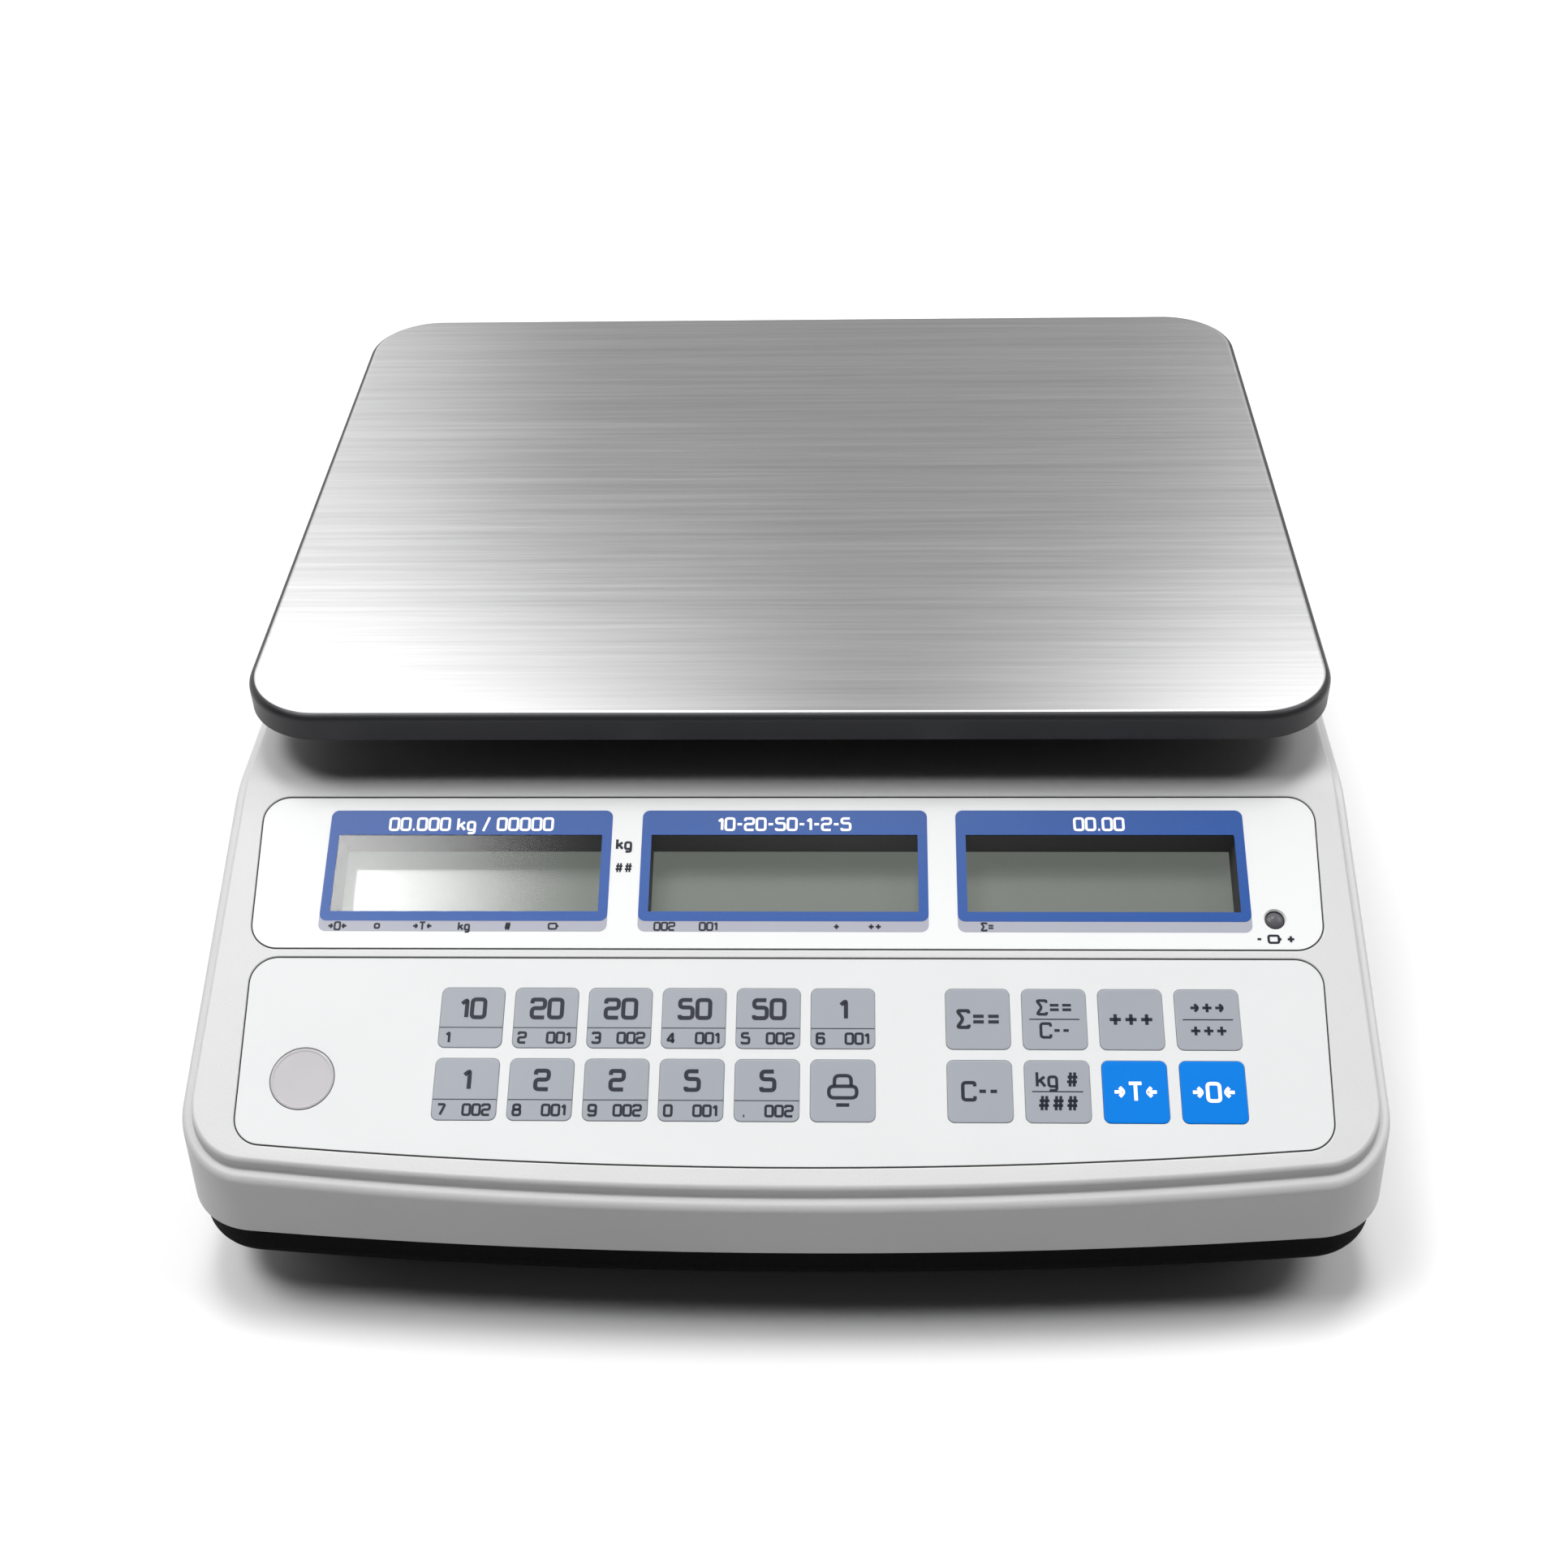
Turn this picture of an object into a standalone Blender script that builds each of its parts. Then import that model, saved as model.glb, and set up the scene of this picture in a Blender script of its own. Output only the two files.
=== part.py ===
"""Counting scale: a stainless pan on a single-point load cell in a two-part plastic housing.

Lengths are in millimetres and are turned into metres when a mesh is made. +Z is up and the
control panel faces -Y. The origin is on the table, under the middle of the body's footprint.
"""
import math

import bmesh
import bpy
from mathutils import Matrix, Vector

MM = 0.001
GAP = 0.3  # left between pieces that touch

# body, seen from above
HALF_WIDTH = 153.6
FRONT_Y = -169.0
REAR_Y = 169.0
FRONT_BOW = 1550.0
FRONT_CORNER = 20.0
REAR_CORNER = 14.0

# body, seen from the side
BASE_BOTTOM = 14.0
PARTING = 27.1
FLAT_TOP = 93.0
DRAFT = math.radians(3.0)
WALL = 2.6
TOP_WALL = 3.0
LEDGE_DROP = 3.0
LEDGE_WIDTH = 2.8

# control panel: a frame with x across, y up the slope and z out of the panel
PANEL_TILT = math.radians(23.6)
PANEL_Y = -124.4
PANEL_Z = 65.2
FOLD_TANGENT = 5.0

# overlays and keys, in the panel's frame
DISPLAY_TOP, DISPLAY_BOTTOM, DISPLAY_HALF = 63.1, 19.3, 141.0
KEYPAD_TOP, KEYPAD_BOTTOM, KEYPAD_HALF = 16.4, -38.9, 138.6
OVERLAY_CORNER = 7.0
OVERLAY_TAPER = 0.03
OVERLAY_BOW = 1700.0
OVERLAY_THICK = 1.2
RECESS = 1.5
KEY = 16.3
KEY_CORNER = 1.7
KEY_PITCH = 19.05
KEY_ROW_PITCH = 19.2
FIRST_KEY_X = -79.5
FUNCTION_KEY_X = 50.1
FUNCTION_KEY_PITCH = 19.4
KEY_PROUD = 0.15
KEY_THICK = 0.6
FILM_THICK = 0.5
CIRCUIT_DEPTH = 0.8
LCD_PITCH = 83.75
WINDOW_WIDTH, WINDOW_HEIGHT, WINDOW_Y = 72.6, 23.8, 40.9
WINDOW_DEPTH = 11.4
LCD_THICK = 6.0
LED_X, LED_Y, LED_R = 127.8, 27.7, 2.5
LEVEL_X, LEVEL_Y, LEVEL_R = -121.5, -16.6, 8.2

# weighing platform
PAN_HALF, PAN_FRONT, PAN_REAR = 147.0, -62.0, 166.0
PAN_TOP = 115.0
PAN_SKIRT = 8.3
PAN_SHEET = 1.0
PAN_CORNER = 22.0
PAN_EDGE = 2.4
PAN_Y = (PAN_FRONT + PAN_REAR) / 2
SPIDER_BOTTOM, SPIDER_TOP = 97.0, 105.0
ARM_X, ARM_Y, ARM_HALF = 105.0, 72.0, 9.0
CELL_LENGTH, CELL_WIDTH, CELL_HEIGHT = 130.0, 30.0, 22.0
CELL_BOTTOM = 24.6
POST_Y = 2.0
HATCH_R = 23.0

# feet, battery, rear sockets
FOOT_X, FOOT_FRONT_Y, FOOT_REAR_Y = 122.0, -128.0, 138.0
STUD_R = 4.0
SOLE_HEIGHT = 5.0
BATTERY_X, BATTERY_Y = -60.0, 70.5
BATTERY_SIZE = (70.0, 101.0, 47.0)
DOOR_SIZE = (74.0, 106.0)
SOCKET_PANEL_X, SOCKET_PANEL_Y = 80.0, 162.0
SOCKET_Z = 55.0
INLET_X, SWITCH_X, SERIAL_X = 112.0, 78.0, 48.0
ROCKER_REST = math.radians(-10.0)

FINISHES = {
    "housing_abs": ((0.74, 0.75, 0.75), 0.55, 0.0),
    "base_abs": ((0.02, 0.02, 0.022), 0.6, 0.0),
    "overlay_film": ((0.9, 0.91, 0.92), 0.35, 0.0),
    "key_grey": ((0.4, 0.42, 0.48), 0.4, 0.0),
    "key_blue": ((0.0, 0.25, 0.85), 0.4, 0.0),
    "clear_lens": ((0.8, 0.76, 0.78), 0.1, 0.0),
    "level_fluid": ((0.75, 0.85, 0.3), 0.15, 0.0),
    "led_lens": ((0.3, 0.3, 0.3), 0.3, 0.0),
    "lcd_glass": ((0.2, 0.23, 0.2), 0.12, 0.0),
    "circuit_board": ((0.03, 0.2, 0.08), 0.5, 0.0),
    "circuit_film": ((0.55, 0.58, 0.6), 0.4, 0.0),
    "stainless": ((0.6, 0.6, 0.6), 0.3, 1.0),
    "cast_aluminium": ((0.62, 0.63, 0.64), 0.5, 1.0),
    "cell_aluminium": ((0.7, 0.71, 0.73), 0.35, 1.0),
    "zinc_steel": ((0.65, 0.65, 0.62), 0.35, 1.0),
    "rubber": ((0.03, 0.03, 0.03), 0.85, 0.0),
    "black_plastic": ((0.025, 0.025, 0.025), 0.4, 0.0),
    "battery_case": ((0.12, 0.12, 0.13), 0.5, 0.0),
    "transformer_core": ((0.22, 0.22, 0.24), 0.45, 0.7),
}


def clear_scene():
    for old in list(bpy.data.objects):
        bpy.data.objects.remove(old, do_unlink=True)


def finish(name):
    found = bpy.data.materials.get(name)
    if found:
        return found
    colour, roughness, metallic = FINISHES[name]
    made = bpy.data.materials.new(name)
    made.use_nodes = True
    shader = made.node_tree.nodes["Principled BSDF"]
    shader.inputs["Base Color"].default_value = (*colour, 1.0)
    shader.inputs["Roughness"].default_value = roughness
    shader.inputs["Metallic"].default_value = metallic
    return made


def place(name, mesh, finish_name, at=(0, 0, 0), parent=None, turn=None):
    """Puts a mesh in the scene as one named object."""
    mesh.name = name
    mesh.materials.clear()
    mesh.materials.append(finish(finish_name))
    mesh.shade_smooth()
    mesh.set_sharp_from_angle(angle=math.radians(32))
    made = bpy.data.objects.new(name, mesh)
    made.location = Vector(at) * MM
    if turn:
        made.rotation_euler = turn
    made.parent = parent
    bpy.context.collection.objects.link(made)
    return made


# ---- outlines -------------------------------------------------------------------------------

def arc(centre, radius, start, end, steps):
    """Points on an arc from start to end, in degrees, with both ends."""
    turns = [math.radians(start + (end - start) * i / steps) for i in range(steps + 1)]
    return [(centre[0] + radius * math.cos(t), centre[1] + radius * math.sin(t)) for t in turns]


def circle(radius, steps, centre=(0, 0)):
    return arc(centre, radius, 0, 360, steps)[:-1]


def rectangle(width, height, centre=(0, 0)):
    x, y = width / 2, height / 2
    corners = ((x, -y), (x, y), (-x, y), (-x, -y))
    return [(centre[0] + a, centre[1] + b) for a, b in corners]


def rounded_rectangle(width, height, radius, steps, centre=(0, 0)):
    points = []
    for quarter, (sx, sy) in enumerate(((1, 1), (-1, 1), (-1, -1), (1, -1))):
        middle = (centre[0] + sx * (width / 2 - radius), centre[1] + sy * (height / 2 - radius))
        points += arc(middle, radius, 90 * quarter, 90 * quarter + 90, steps)
    return points


def display_outline(grow=0.0, steps=4):
    """The display overlay: a rounded box a little narrower towards the front."""
    height = DISPLAY_TOP - DISPLAY_BOTTOM
    middle = (0, (DISPLAY_TOP + DISPLAY_BOTTOM) / 2)
    box = rounded_rectangle(
        2 * (DISPLAY_HALF + grow), height + 2 * grow, OVERLAY_CORNER + grow, steps, middle
    )
    return [tapered(x, y, DISPLAY_TOP) for x, y in box]


def tapered(x, y, top):
    return x - math.copysign(OVERLAY_TAPER * (top - y), x), y


def keypad_outline(grow=0.0, steps=4):
    """The keypad overlay: as the display overlay, with a bowed front edge."""
    side, radius = KEYPAD_HALF + grow, OVERLAY_CORNER + grow
    bow = OVERLAY_BOW + grow
    bow_y = KEYPAD_BOTTOM - grow + bow
    corner_x = side - radius
    corner_y = bow_y - math.sqrt((bow - radius) ** 2 - corner_x**2)
    lean = math.degrees(math.atan2(corner_y - bow_y, corner_x))
    right = arc((corner_x, corner_y), radius, lean, 0, steps)
    right += arc((corner_x, KEYPAD_TOP + grow - radius), radius, 0, 90, steps)
    across = [corner_x * i / 6 for i in range(1, 6)]
    right = [(x, bow_y - math.sqrt(bow**2 - x**2)) for x in across] + right
    left = [(-x, y) for x, y in reversed(right)]
    return [tapered(x, y, KEYPAD_TOP) for x, y in right + left + [(0, bow_y - bow)]]


def body_outline():
    """The body's right half at the parting line: (point, outward normal), front to rear."""
    bow_centre = FRONT_Y + FRONT_BOW
    corner_x = HALF_WIDTH - FRONT_CORNER
    corner_y = bow_centre - math.sqrt((FRONT_BOW - FRONT_CORNER) ** 2 - corner_x**2)
    lean = math.atan2(corner_y - bow_centre, corner_x)
    half = []
    for i in range(1, 8):
        turn = -math.pi / 2 + (lean + math.pi / 2) * i / 8
        out = (math.cos(turn), math.sin(turn))
        half.append(((FRONT_BOW * out[0], bow_centre + FRONT_BOW * out[1]), out))
    for i in range(7):
        turn = lean * (1 - i / 6)
        out = (math.cos(turn), math.sin(turn))
        half.append(((corner_x + FRONT_CORNER * out[0], corner_y + FRONT_CORNER * out[1]), out))
    fold = fold_rows()
    for y in [-110.0] + fold + [0.0, 60.0, 120.0]:
        half.append(((HALF_WIDTH, y), (1.0, 0.0)))
    middle = (HALF_WIDTH - REAR_CORNER, REAR_Y - REAR_CORNER)
    for i in range(5):
        turn = math.pi / 2 * i / 4
        out = (math.cos(turn), math.sin(turn))
        half.append(((middle[0] + REAR_CORNER * out[0], middle[1] + REAR_CORNER * out[1]), out))
    return half


# ---- the body's top surface -------------------------------------------------------------------

def fold_y():
    """Where the sloping panel's plane would meet the flat top."""
    return PANEL_Y + (FLAT_TOP - PANEL_Z) / math.tan(PANEL_TILT)


def fold_rows():
    low, high = fold_y() - FOLD_TANGENT * math.cos(PANEL_TILT), fold_y() + FOLD_TANGENT
    return [low + (high - low) * i / 4 for i in range(5)]


def top_height(y):
    """The height of the platform's surface: slope, rounded fold, flat top."""
    rows = fold_rows()
    if y <= rows[0]:
        return PANEL_Z + (y - PANEL_Y) * math.tan(PANEL_TILT)
    if y >= rows[-1]:
        return FLAT_TOP
    radius = FOLD_TANGENT / math.tan(PANEL_TILT / 2)
    return FLAT_TOP - radius + math.sqrt(radius**2 - (y - rows[-1]) ** 2)


def body_ring(inset, drop=None, height=None):
    """One closed loop round the body: inset from the wall, at a height or a drop below the top."""
    bow = (0.0, FRONT_Y), (0.0, -1.0)
    right = []
    for point, out in [bow] + body_outline():
        z = height
        if height is None:
            z = top_height(point[1]) - drop
            for _ in range(3):
                y = point[1] - (inset * out[1] + lean_in(z) * min(out[1], 0))
                z = top_height(y) - drop
        x = point[0] - (inset + lean_in(z)) * out[0]
        y = point[1] - inset * out[1] - lean_in(z) * min(out[1], 0)
        right.append((x, y, z))
    left = [(-x, y, z) for x, y, z in reversed(right[1:])]
    return right + left


def lean_in(z):
    """How far the drafted walls lean in at a height; the rear wall stays upright."""
    return max(0.0, z - PARTING) * math.tan(DRAFT)


# ---- solids -------------------------------------------------------------------------------

def closed_mesh(points, faces):
    mesh = bpy.data.meshes.new("solid")
    mesh.from_pydata([Vector(p) * MM for p in points], [], faces)
    tidy = bmesh.new()
    tidy.from_mesh(mesh)
    bmesh.ops.recalc_face_normals(tidy, faces=tidy.faces)
    tidy.to_mesh(mesh)
    tidy.free()
    return mesh


def skin(rings, start_cap, end_cap):
    """A closed solid through rings of equal length; the caps are lists of faces of a ring."""
    count = len(rings[0])
    points = [p for ring in rings for p in ring]
    faces = [tuple(face) for face in start_cap]
    for k in range(len(rings) - 1):
        here, there = k * count, (k + 1) * count
        for i in range(count):
            j = (i + 1) % count
            faces.append((here + i, here + j, there + j, there + i))
    last = (len(rings) - 1) * count
    faces += [tuple(last + i for i in face) for face in end_cap]
    return closed_mesh(points, faces)


def flat_cap(count):
    return [tuple(range(count))]


def ladder_cap(count):
    """Strips from side to side, so that the cap follows a surface that is straight across."""
    half = (count - 1) // 2
    rungs = [(i, i + 1, count - i - 1, count - i) for i in range(1, half)]
    return [(0, 1, count - 1)] + rungs


def prism(outline, low, high):
    rings = [[(x, y, z) for x, y in outline] for z in (low, high)]
    cap = flat_cap(len(outline))
    return skin(rings, cap, cap)


def block(size, centre):
    """A box from its size and the middle of its underside."""
    x, y, z = centre
    return prism(rectangle(size[0], size[1], (x, y)), z, z + size[2])


def turned(profile, steps=24, at=(0, 0)):
    """A turned solid from (radius, height) pairs, closed flat at both ends."""
    rings = [[(x, y, z) for x, y in circle(r, steps, at)] for r, z in profile]
    cap = flat_cap(steps)
    return skin(rings, cap, cap)


def merged(meshes):
    """Several meshes as one, for a cutter made of separate pieces."""
    joined = bmesh.new()
    for mesh in meshes:
        joined.from_mesh(mesh)
    mesh = bpy.data.meshes.new("pieces")
    joined.to_mesh(mesh)
    joined.free()
    return mesh


def boolean(mesh, operation, others):
    """The mesh after one exact boolean with the other meshes."""
    for other in others:
        body = bpy.data.objects.new("body", mesh)
        tool = bpy.data.objects.new("tool", other)
        bpy.context.collection.objects.link(body)
        bpy.context.collection.objects.link(tool)
        step = body.modifiers.new("step", "BOOLEAN")
        step.operation = operation
        step.object = tool
        step.solver = "EXACT"
        graph = bpy.context.evaluated_depsgraph_get()
        mesh = bpy.data.meshes.new_from_object(body.evaluated_get(graph))
        bpy.data.objects.remove(body)
        bpy.data.objects.remove(tool)
    return mesh


def cut(mesh, cutters):
    return boolean(mesh, "DIFFERENCE", [merged(cutters)])


def fused(mesh, others):
    return boolean(mesh, "UNION", others)


def on_panel(mesh):
    """Moves a mesh from the panel's frame to the body's."""
    spot = Matrix.Translation(Vector((0, PANEL_Y, PANEL_Z)) * MM)
    mesh.transform(spot @ Matrix.Rotation(PANEL_TILT, 4, "X"))
    return mesh


def lcd_centres():
    return [(LCD_PITCH * k, WINDOW_Y) for k in (-1, 0, 1)]


# ---- housing -------------------------------------------------------------------------------

def housing_shell():
    """Wall, rounded shoulder, narrow ledge, step and platform, hollow and open underneath."""
    shoulder, edge = 1.4, 0.9
    outer = [body_ring(0.0, height=PARTING), body_ring(0.0, LEDGE_DROP + shoulder)]
    outer.append(body_ring(shoulder * 0.3, LEDGE_DROP + shoulder * 0.3))
    outer.append(body_ring(shoulder, LEDGE_DROP))
    outer.append(body_ring(LEDGE_WIDTH, LEDGE_DROP))
    outer.append(body_ring(LEDGE_WIDTH, edge))
    outer.append(body_ring(LEDGE_WIDTH + edge * 0.3, edge * 0.3))
    outer.append(body_ring(LEDGE_WIDTH + edge, 0.0))
    inner = [body_ring(WALL, height=PARTING), body_ring(WALL, LEDGE_DROP + WALL)]
    inner.append(body_ring(LEDGE_WIDTH + WALL, LEDGE_DROP + WALL))
    inner.append(body_ring(LEDGE_WIDTH + WALL, TOP_WALL))
    count = len(outer[0])
    return skin(outer[::-1] + inner, ladder_cap(count), ladder_cap(count))


def rear_block(size, x, y):
    """A box for the socket panel, centred on the sockets' height."""
    return block(size, (x, y, SOCKET_Z - size[2] / 2))


def rear_cutter(width, height, x):
    return rear_block((width, 30.0, height), x, SOCKET_PANEL_Y)


def upper_housing():
    shell = housing_shell()
    tunnel = WINDOW_WIDTH + 4.0, WINDOW_HEIGHT + 4.0
    tunnels = [
        on_panel(prism(rectangle(*tunnel, spot), GAP - WINDOW_DEPTH, -2.0)) for spot in lcd_centres()
    ]
    recessed = rear_block((114.0, 8.6, 40.0), SOCKET_PANEL_X, SOCKET_PANEL_Y + 1.7)
    collar = turned([(HATCH_R + 4.0, FLAT_TOP - 2.0), (HATCH_R + 3.0, FLAT_TOP + 2.2)], 28, (0, POST_Y))
    shell = fused(shell, tunnels + [recessed, collar])
    cutters = [
        on_panel(prism(display_outline(0.35), -RECESS, 8.0)),
        on_panel(prism(keypad_outline(0.35), -RECESS, 8.0)),
        rear_block((108.0, 20.0, 34.0), SOCKET_PANEL_X, SOCKET_PANEL_Y + 10.0),
    ]
    shell = cut(shell, cutters)
    window = WINDOW_WIDTH, WINDOW_HEIGHT
    holes = [on_panel(prism(rectangle(*window, spot), -20.0, 5.0)) for spot in lcd_centres()]
    holes.append(on_panel(turned([(3.1, -12.0), (3.1, 5.0)], 16, (LED_X, LED_Y))))
    holes.append(on_panel(turned([(8.3, -12.0), (8.3, 5.0)], 24, (LEVEL_X, LEVEL_Y))))
    holes.append(turned([(HATCH_R, FLAT_TOP - 10.0), (HATCH_R, FLAT_TOP + 10.0)], 28, (0, POST_Y)))
    holes.append(rear_cutter(27.8, 20.4, INLET_X))
    holes.append(rear_cutter(13.4, 20.4, SWITCH_X))
    holes.append(rear_cutter(21.0, 11.4, SERIAL_X))
    return cut(shell, holes)


def lower_housing():
    """The black tray: rim, wall, rounded underside edge, floor, foot bosses and door opening."""
    radius = 5.6
    wall = 1.6
    rim = PARTING - GAP
    outer = [body_ring(1.2, height=rim)]
    for turn in (0, 30, 60, 90):
        swing = math.radians(turn)
        inset = wall + radius * (1 - math.cos(swing))
        outer.append(body_ring(inset, height=BASE_BOTTOM + radius * (1 - math.sin(swing))))
    inner = [body_ring(3.8, height=rim), body_ring(4.2, height=BASE_BOTTOM + radius)]
    inner.append(body_ring(wall + radius, height=BASE_BOTTOM + WALL))
    cap = flat_cap(len(inner[0]))
    tray = skin(outer[::-1] + inner, cap, cap)
    bosses = [turned([(7.0, BASE_BOTTOM + 1.0), (6.6, 36.0)], 16, spot) for spot in foot_spots().values()]
    frame = prism(rectangle(84.0, 116.0, (BATTERY_X, BATTERY_Y)), BASE_BOTTOM + 1.0, 19.0)
    tray = fused(tray, bosses + [frame])
    cutters = [turned([(4.4, 0.0), (4.4, 40.0)], 16, spot) for spot in foot_spots().values()]
    door = rectangle(DOOR_SIZE[0] + 2 * GAP, DOOR_SIZE[1] + 2 * GAP, (BATTERY_X, BATTERY_Y))
    cutters.append(prism(door, 0.0, BASE_BOTTOM + 2.3))
    tray = cut(tray, cutters)
    well = rectangle(DOOR_SIZE[0] - 6.0, DOOR_SIZE[1] - 6.0, (BATTERY_X, BATTERY_Y))
    return cut(tray, [prism(well, BASE_BOTTOM, 30.0)])


def build_housing():
    place("upper_housing", upper_housing(), "housing_abs")
    place("lower_housing", lower_housing(), "base_abs")
    door = prism(rectangle(*DOOR_SIZE), 0.0, 1.8)
    place("battery_door", door, "base_abs", (BATTERY_X, BATTERY_Y, BASE_BOTTOM + 0.2))


# ---- control panel -------------------------------------------------------------------------

def key_spots():
    """Each key's name and its place on the panel: twelve coin keys and eight function keys."""
    spots = {}
    for row in range(2):
        y = -KEY_ROW_PITCH * row
        for column in range(6):
            spots[f"key_left_{row + 1}_{column + 1}"] = (FIRST_KEY_X + KEY_PITCH * column, y)
        for column in range(4):
            x = FUNCTION_KEY_X + FUNCTION_KEY_PITCH * column
            spots[f"key_right_{row + 1}_{column + 1}"] = (x, y)
    return spots


def build_keypad(panel):
    level_hole = turned([(LEVEL_R + GAP, -5.0), (LEVEL_R + GAP, 5.0)], 24, (LEVEL_X, LEVEL_Y))
    side, corner = KEY + 2 * GAP, KEY_CORNER + GAP
    key_holes = [
        prism(rounded_rectangle(side, side, corner, 2, spot), -5.0, 5.0) for spot in key_spots().values()
    ]
    film = cut(prism(keypad_outline(), -FILM_THICK, 0.0), [level_hole] + key_holes)
    place("keypad_overlay", film, "overlay_film", parent=panel)
    circuit = prism(keypad_outline(-1.0), -OVERLAY_THICK, -CIRCUIT_DEPTH)
    place("keypad_circuit", cut(circuit, [level_hole]), "circuit_film", parent=panel)
    for name, (x, y) in key_spots().items():
        cap = prism(rounded_rectangle(KEY, KEY, KEY_CORNER, 2), KEY_PROUD - KEY_THICK, KEY_PROUD)
        blue = name in ("key_right_2_3", "key_right_2_4")
        place(name, cap, "key_blue" if blue else "key_grey", (x, y, 0), panel)


def build_display(panel):
    sheet = prism(display_outline(), -OVERLAY_THICK, 0.0)
    place("display_overlay", sheet, "overlay_film", parent=panel)
    face = -WINDOW_DEPTH
    for side, spot in zip(("left", "middle", "right"), lcd_centres()):
        glass = block((76.0, 28.0, 2.8), (0, 0, face - 2.8))
        frame = block((78.0, 31.0, LCD_THICK - 2.0), (0, 0, face - LCD_THICK))
        place(f"lcd_{side}", fused(frame, [glass]), "lcd_glass", (*spot, 0), panel)
    board_top = face - LCD_THICK - GAP
    board = block((256.0, 38.0, 1.6), (3.5, 42.0, board_top - 1.6))
    place("display_board", board, "circuit_board", parent=panel)
    lamp = [(2.9, board_top + GAP), (2.9, board_top + 1.5), (LED_R, board_top + 1.6)]
    lamp += [(LED_R, -4.0), (LED_R * 0.8, -2.5), (LED_R * 0.4, -1.9)]
    place("charge_led", turned(lamp, 16), "led_lens", (LED_X, LED_Y, 0), panel)


def build_level(panel):
    lens = turned([(LEVEL_R, -OVERLAY_THICK), (LEVEL_R, -0.1), (LEVEL_R - 0.5, 0.1)], 24)
    place("level_window", lens, "clear_lens", (LEVEL_X, LEVEL_Y, 0), panel)
    vial = turned([(7.8, -12.0), (7.8, -2.4), (7.2, -OVERLAY_THICK - GAP)], 24)
    place("level_vial", vial, "level_fluid", (LEVEL_X, LEVEL_Y, 0), panel)


def build_panel():
    panel = bpy.data.objects.new("control_panel", None)
    panel.location = Vector((0, PANEL_Y, PANEL_Z)) * MM
    panel.rotation_euler = (PANEL_TILT, 0, 0)
    bpy.context.collection.objects.link(panel)
    build_keypad(panel)
    build_display(panel)
    build_level(panel)


# ---- weighing platform -----------------------------------------------------------------------

def pan_ring(inset, z):
    size = 2 * PAN_HALF - 2 * inset, PAN_REAR - PAN_FRONT - 2 * inset
    return [(x, y, z) for x, y in rounded_rectangle(*size, PAN_CORNER - inset, 6, (0, PAN_Y))]


def weighing_pan():
    """Folded sheet: a flat top, a rounded edge and a short skirt, one sheet thick."""
    outer = [pan_ring(0.0, PAN_TOP - PAN_SKIRT), pan_ring(0.0, PAN_TOP - PAN_EDGE)]
    inner = [pan_ring(PAN_SHEET, PAN_TOP - PAN_SKIRT), pan_ring(PAN_SHEET, PAN_TOP - PAN_EDGE)]
    for turn in (30, 60, 90):
        swing = math.radians(turn)
        across, down = 1 - math.cos(swing), 1 - math.sin(swing)
        outer.append(pan_ring(PAN_EDGE * across, PAN_TOP - PAN_EDGE * down))
        fold = PAN_EDGE - PAN_SHEET
        inner.append(pan_ring(PAN_SHEET + fold * across, PAN_TOP - PAN_SHEET - fold * down))
    cap = flat_cap(len(outer[0]))
    return skin(outer[::-1] + inner, cap, cap)


def spider_outline():
    """An X of four arms with a tab to the front, where it bolts to the post."""
    reach = math.hypot(ARM_X, ARM_Y)
    along = ARM_X / reach, ARM_Y / reach
    tip = reach + 11.0
    notch_x, notch_y = ARM_HALF / along[1], ARM_HALF / along[0]
    tab, tab_end = 18.0, POST_Y - PAN_Y - 17.0
    upper = (tip * along[0] - ARM_HALF * along[1], tip * along[1] + ARM_HALF * along[0])
    lower = (tip * along[0] + ARM_HALF * along[1], tip * along[1] - ARM_HALF * along[0])
    root = (tab, -notch_y - tab * along[1] / along[0])
    right = [(tab, tab_end), root, (upper[0], -upper[1]), (lower[0], -lower[1])]
    right += [(notch_x, 0), lower, upper]
    return right + [(0, notch_y)] + [(-x, y) for x, y in reversed(right)]


def load_cell():
    """A bar with two cross holes joined by a slot, where it bends."""
    bar = block((CELL_WIDTH, CELL_LENGTH, CELL_HEIGHT), (0, 0, 0))
    middle = CELL_HEIGHT / 2
    cutters = [prism(circle(7.6, 20, (-middle, spot)), -40, 40) for spot in (-16.0, 16.0)]
    cutters = [merged(cutters)]
    cutters.append(prism(rectangle(6.0, 32.0, (-middle, 0)), -40, 40))
    for tool in cutters:
        tool.transform(Matrix.Rotation(math.pi / 2, 4, "Y"))
    for tool in cutters:
        bar = cut(bar, [tool])
    return bar


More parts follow.
